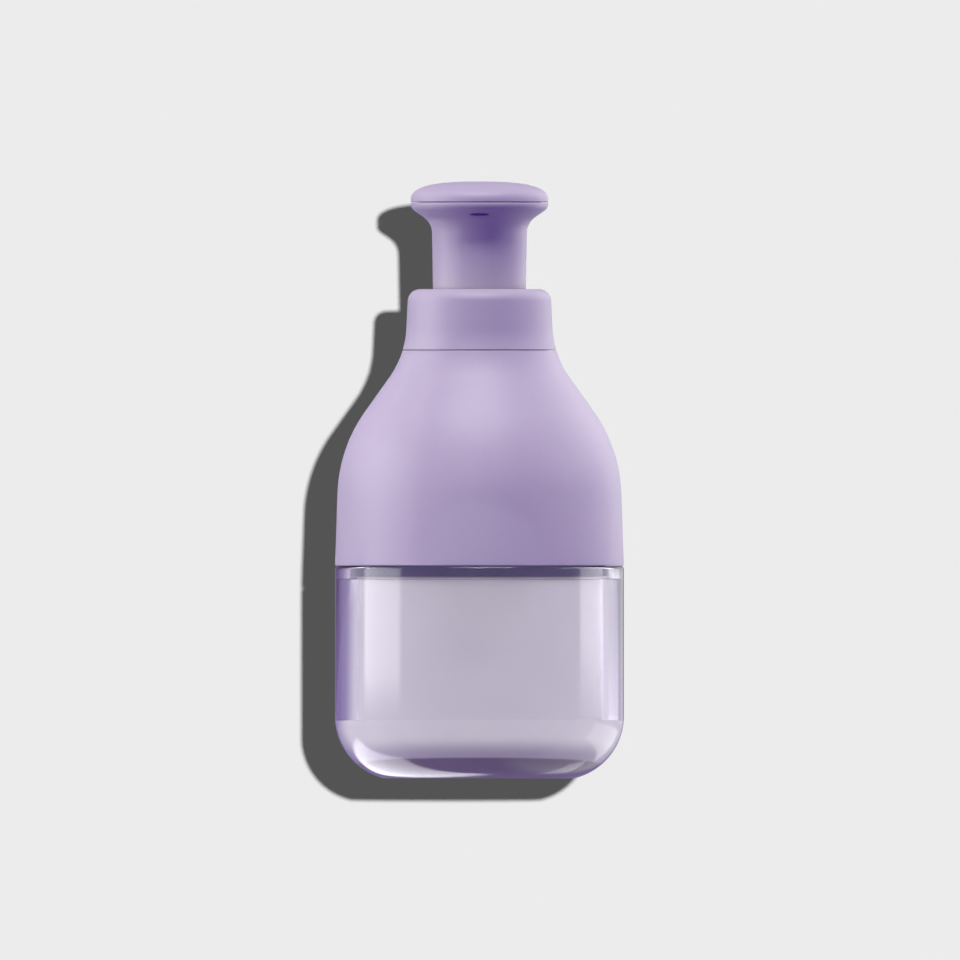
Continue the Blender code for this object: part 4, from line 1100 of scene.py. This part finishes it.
# Outlet lip
# Small tongue in violet rubber, one tone lighter than the mouth seal; it is a real part, and its dark violet
# is painted shade for the inside of the slit. It sits in the slit from inside, and bends open under the
# pressure of the soap, so that none drips.
LIP_SINK = 0.15 * MM
LIP_PLAY = 0.06 * MM
LIP_LENGTH = 1.2 * MM
# Painted shade: the lip's dark violet stands in for the shade inside the slit.
LIP_PAINTED_SHADE_TONES = (0.15, 0.09, 0.32, 1), (0.18, 0.11, 0.36, 1)

slit_wall = at_height(head_outside, SLIT_LEVEL).x
outlet_lip = oval_bar(
    "outlet_lip", SLIT_WIDTH - 2 * LIP_PLAY, SLIT_HEIGHT - 2 * LIP_PLAY,
    slit_wall - LIP_SINK - LIP_LENGTH, slit_wall - LIP_SINK, SLIT_LEVEL,
    violet_rubber("violet rubber", LIP_PAINTED_SHADE_TONES),
)
for vertex in outlet_lip.data.vertices:
    vertex.co.y += slit_wall - math.sqrt(slit_wall**2 - vertex.co.x**2)
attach(outlet_lip, "head")

# Cap of the pump head
# Shallow crowned disc in the same matte lavender, snapped into the rim by a short plug ring after the
# duct is in place. Its parting line runs just above the rim.
CAP_FOOT = HEAD_SEAM + SEAM_GAP
ROUNDING_ROOM = MM / 1000
CAP_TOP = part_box("head_cap")[1].z - ROUNDING_ROOM
CAP_SQUARENESS = 2.7
CAP_PLUG = RIM_RADIUS - HEAD_WALL - CLEARANCE
CAP_PLUG_WALL = 1 * MM
CAP_PLUG_DEPTH = 0.7 * MM
CAP_POST = 3 * MM
CAP_DISH = 1.4 * MM
CAP_STEPS = 60


def with_crown(base, given):
    """Adds the crown over the cap's rim. It follows a superellipse from the rim up to the pole."""
    sheet = base.node("GeometryNodeMeshGrid", (), {
        "Size X": 1.0, "Size Y": 1.0, "Vertices X": ROUND_STEPS + 1, "Vertices Y": CAP_STEPS + 1,
    })
    # The sheet lies from -0.5 to 0.5 both ways.
    place = base.node("GeometryNodeInputPosition")
    share_round = base.node("ShaderNodeSeparateXYZ", (), {0: place}, "X") + 0.5
    share_up = base.node("ShaderNodeSeparateXYZ", (), {0: place}, "Y") + 0.5
    around = share_round * math.tau
    angle = share_up * (math.pi / 2)
    power = 2 / given["Squareness"]
    across = angle.maths("COSINE").maths("POWER", power) * given["Radius"]
    up = angle.maths("SINE").maths("POWER", power) * given["Rise"] + given["Foot"]
    spot = base.node("ShaderNodeCombineXYZ", (), {
        "X": across * around.maths("COSINE"), "Y": across * around.maths("SINE"), "Z": up,
    })
    crown = base.node("GeometryNodeSetPosition", (), {0: sheet, "Position": spot})
    both = base.node("GeometryNodeJoinGeometry", (), {0: [base, crown]})
    return base.node("GeometryNodeMergeByDistance", (), {0: both, "Distance": SAME_PLACE})


cap_ceiling = CAP_TOP - HEAD_WALL
post_end = DUCT_TOP + CLEARANCE
crown_cap = grown("crown_cap", lathed([
    (RIM_RADIUS, CAP_FOOT + EDGE_ROUND),
    (RIM_RADIUS - EDGE_ROUND, CAP_FOOT),
    (CAP_PLUG, CAP_FOOT),
    (CAP_PLUG, CAP_FOOT - CAP_PLUG_DEPTH),
    (CAP_PLUG - CAP_PLUG_WALL, CAP_FOOT - CAP_PLUG_DEPTH),
    (CAP_PLUG - CAP_PLUG_WALL, cap_ceiling - CAP_DISH),
    (CAP_POST, cap_ceiling),
    (CAP_POST, post_end),
    (0, post_end),
]), {
    "Radius": RIM_RADIUS,
    "Foot": CAP_FOOT + EDGE_ROUND,
    "Rise": CAP_TOP - CAP_FOOT - EDGE_ROUND,
    "Squareness": CAP_SQUARENESS,
}, with_crown, lavender)
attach(crown_cap, "head")
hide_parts("head_cap")

# Studio
# A pale floor that fades out round the bottle, a wall behind it, and soft lamps on both sides, above, in
# front, and low behind for the jar and the bottle in it. The wall's own lamp lights it pale and throws the
# shadow down and to the left.
PALE = 0.8388
FLOOR_RADIUS = 0.22
FLOOR_FADE = 0.07
FLOOR_LEVEL = -0.02 * MM
WALL_DISTANCE = 0.6
WALL_SIZE = 2.4
WALL_PAINT = 0.12
SHADOW_SHIFT = (-8.5 * MM, -5.5 * MM)
SHADOW_BLUR = 1.3 * MM
WALL_LAMP = 19.6
SHADOW_TONE = 0.0887
FLOOR_PAINT = (0.50, 0.525, 0.39)
FLOOR_GLOW = 0.275
AMBIENT = (0.16, 0.075, 0.47, 1)
BEHIND = (0.28, 0.21, 0.43, 1)
BEFORE = (0.15, 0.14, 0.18, 1)
LEFT_PANEL = (0.40, 0.82)
RIGHT_PANEL = (0.12, 0.30)
FRONT_EDGE = 0.2
SOFT_EDGE = 0.14
SQUARE = ((-1, -1), (1, -1), (1, 1), (-1, 1))


def sheet_of(name, corners, material):
    """A flat stage surface, which only the camera sees, so that it throws no light back."""
    mesh = bmesh.new()
    mesh.faces.new([mesh.verts.new(corner) for corner in corners])
    piece = finished(name, mesh, material)
    piece.visible_diffuse = False
    piece.visible_glossy = False
    piece.visible_transmission = False
    piece.visible_shadow = False
    return piece


def rays(paint, *kinds):
    """1 for these kinds of ray, 0 for the others."""
    found = None
    for kind in kinds:
        one = paint.node("ShaderNodeLightPath", output=f"Is {kind} Ray")
        found = one if found is None else found.maths("MAXIMUM", one)
    return found


def clear_where(made, mask):
    """Makes a stage material clear where the mask is 1."""
    tree = made.node_tree
    paint = Socket(tree)
    clear = paint.node("ShaderNodeBsdfTransparent")
    seen = Socket(tree, tree.nodes["Principled BSDF"].outputs[0])
    mixed = paint.node("ShaderNodeMixShader", (), {0: mask, 1: seen, 2: clear})
    tree.links.new(mixed.output, tree.nodes["Material Output"].inputs["Surface"])


floor_made, _, floor_paint = painted("studio floor", {
    "Roughness": 0.9, "Specular IOR Level": 0.1, "Base Color": (*FLOOR_PAINT, 1),
    "Emission Color": (FLOOR_GLOW, FLOOR_GLOW, FLOOR_GLOW, 1), "Emission Strength": 1.0,
})
where = floor_paint.node("ShaderNodeTexCoord", output="Object")
distance = floor_paint.node("ShaderNodeVectorMath", {"operation": "LENGTH"}, {0: where}, "Value")
from_below = floor_paint.node("ShaderNodeNewGeometry", output="Backfacing")
clear_where(floor_made, from_below.maths("MAXIMUM", distance.faded(FLOOR_FADE, FLOOR_RADIUS)))
sheet_of("floor", [(FLOOR_RADIUS * x, FLOOR_RADIUS * y, FLOOR_LEVEL) for x, y in SQUARE], floor_made)

wall_glow = [SHADOW_TONE - WALL_PAINT * tone for tone in AMBIENT[:3]]
wall_made, _, _ = painted("studio wall", {
    "Roughness": 1.0, "Specular IOR Level": 0.0, "Base Color": (WALL_PAINT, WALL_PAINT, WALL_PAINT, 1),
    "Emission Color": (*wall_glow, 1), "Emission Strength": 1.0,
})
wall = sheet_of("wall", [(WALL_SIZE / 2 * x, WALL_DISTANCE, WALL_SIZE / 2 * z) for x, z in SQUARE], wall_made)


def lit_only(lamp, name, state, *surfaces):
    """Links a lamp to these surfaces alone, or to all but these."""
    linked = bpy.data.collections.new(name)
    for surface in surfaces:
        linked.objects.link(surface)
    for item in linked.collection_objects:
        item.light_linking.link_state = state
    lamp.light_linking.receiver_collection = linked


def softbox(name, radiance, azimuth, elevation, distance, height, size, spread=180, only=(), without=()):
    """A lamp with soft edges, aimed from its distance at a height on the bottle's axis. Azimuth and
    elevation are in degrees, from the front round to the right and from level upwards."""
    turn = math.radians(azimuth)
    rise = math.radians(elevation)
    way = Vector((math.sin(turn) * math.cos(rise), -math.cos(turn) * math.cos(rise), math.sin(rise)))
    lamp = bpy.data.lights.new(name, "AREA")
    lamp.shape = "RECTANGLE"
    lamp.size, lamp.size_y = size
    lamp.spread = math.radians(spread)
    lamp.energy = radiance * math.pi * size[0] * size[1]
    lamp.use_nodes = True
    cloth = Socket(lamp.node_tree)
    place = cloth.node("ShaderNodeNewGeometry", output="Parametric")
    shine = None
    for way_over in ("X", "Y"):
        over = cloth.node("ShaderNodeSeparateXYZ", (), {0: place}, way_over)
        inside = over.maths("MINIMUM", 1 - over).faded(0, SOFT_EDGE)
        shine = inside if shine is None else shine * inside
    lamp.node_tree.links.new(shine.output, lamp.node_tree.nodes["Emission"].inputs["Strength"])
    made = bpy.data.objects.new(name, lamp)
    made.location = Vector((0, 0, height)) + way * distance
    made.rotation_mode = "QUATERNION"
    made.rotation_quaternion = (-way).to_track_quat("-Z", "Y")
    made.visible_camera = False
    bpy.context.scene.collection.objects.link(made)
    if only:
        lit_only(made, name + " surfaces", "INCLUDE", *only)
    else:
        lit_only(made, name + " surfaces", "EXCLUDE", wall, *without)


# Radiance, azimuth, elevation, distance, height aimed at, and size across and up.
softbox("key softbox", 19.2, 0, 65, 0.70, 0.090, (0.55, 0.16))
softbox("left softbox", 4.2, -84, 0, 0.60, 0.1575, (0.48, 0.31))
softbox("left shell softbox", 3.2, -84, 0, 0.60, 0.1575, (0.48, 0.31), without=(clear_jar,))
softbox("right softbox", 3.0, 99, 0, 0.40, 0.204, (0.23, 0.41), only=(clear_jar, pale_bottle))
softbox("right shell softbox", 2.2, 121, 0, 0.35, 0.185, (0.44, 0.41), without=(clear_jar,))
softbox("right rear softbox", 0.35, 150, 0, 0.45, 0.090, (0.20, 0.24), only=(clear_jar,))
softbox("left gridded lamp", 0.4, -100, 20, 0.60, 0.050, (0.1, 0.1), 24)
softbox("right gridded lamp", 0.5, 75, 20, 0.60, 0.050, (0.1, 0.1), 24)
softbox("front softbox", 1.0, 0, 30, 0.70, 0.105, (0.40, 0.20), without=(clear_jar,))
softbox("front gridded lamp", 0.43, 0, 20, 0.60, 0.040, (0.06, 0.06), 12)
softbox("low left softbox", 3.4, -146, -39, 0.35, 0.005, (0.34, 0.30), only=(clear_jar, pale_bottle))
softbox("low right softbox", 1.2, 126, -16, 0.36, 0.005, (0.36, 0.15), only=(clear_jar,))
softbox("small low lamp", 0.9, 150, -38, 0.35, 0.005, (0.13, 0.08), only=(clear_jar,))

wall_lamp_data = bpy.data.lights.new("wall lamp", "SUN")
wall_lamp_data.energy = WALL_LAMP
wall_lamp_data.angle = SHADOW_BLUR / WALL_DISTANCE
wall_lamp = bpy.data.objects.new("wall lamp", wall_lamp_data)
wall_lamp.rotation_mode = "QUATERNION"
shining = Vector((SHADOW_SHIFT[0], WALL_DISTANCE, SHADOW_SHIFT[1]))
wall_lamp.rotation_quaternion = shining.to_track_quat("-Z", "Y")
bpy.context.scene.collection.objects.link(wall_lamp)
lit_only(wall_lamp, "wall lamp surfaces", "INCLUDE", wall)

world = bpy.data.worlds.new("studio")
world.use_nodes = True
bpy.context.scene.world = world
# The camera sees plain pale air, gloss and glass see a room with pale sides, and the rest gets shade light.
air = Socket(world.node_tree)
glow = world.node_tree.nodes["Background"]
heading = air.node("ShaderNodeTexCoord", output="Generated")
across = air.node("ShaderNodeSeparateXYZ", (), {0: heading}, "X")
back = air.node("ShaderNodeSeparateXYZ", (), {0: heading}, "Y")
left = (0 - across).faded(*LEFT_PANEL)
right = across.faded(*RIGHT_PANEL)
aside = left.maths("MAXIMUM", right).mixed(BEHIND, (PALE, PALE, PALE, 1))
before = rays(air, "Transmission").mixed(BEFORE, (PALE, PALE, PALE, 1))
surround = back.faded(-FRONT_EDGE, FRONT_EDGE).mixed(before, aside)
seen = rays(air, "Glossy", "Transmission").mixed(AMBIENT, surround)
colour = rays(air, "Camera").mixed(seen, (PALE, PALE, PALE, 1))
world.node_tree.links.new(colour.output, glow.inputs["Color"])

# Camera
# Straight in front of the bottle, level with it and without perspective. Its shift puts the bottle's axis
# and foot where they are in the photograph's frame.
FRAME_WIDTH = 0.240
CAMERA_DISTANCE = 1.0
AXIS_PIXEL = 479.45
FOOT_PIXEL = 778.3
FRAME_PIXELS = 960
pixel = FRAME_WIDTH / FRAME_PIXELS
camera_data = bpy.data.cameras.new("camera")
camera_data.type = "ORTHO"
camera_data.ortho_scale = FRAME_WIDTH
camera = bpy.data.objects.new("camera", camera_data)
camera.location = (
    (FRAME_PIXELS / 2 - AXIS_PIXEL) * pixel, -CAMERA_DISTANCE, (FOOT_PIXEL - FRAME_PIXELS / 2) * pixel
)
camera.rotation_euler = (math.pi / 2, 0, 0)
bpy.context.scene.collection.objects.link(camera)
bpy.context.scene.camera = camera
bpy.context.scene.view_settings.view_transform = "Standard"
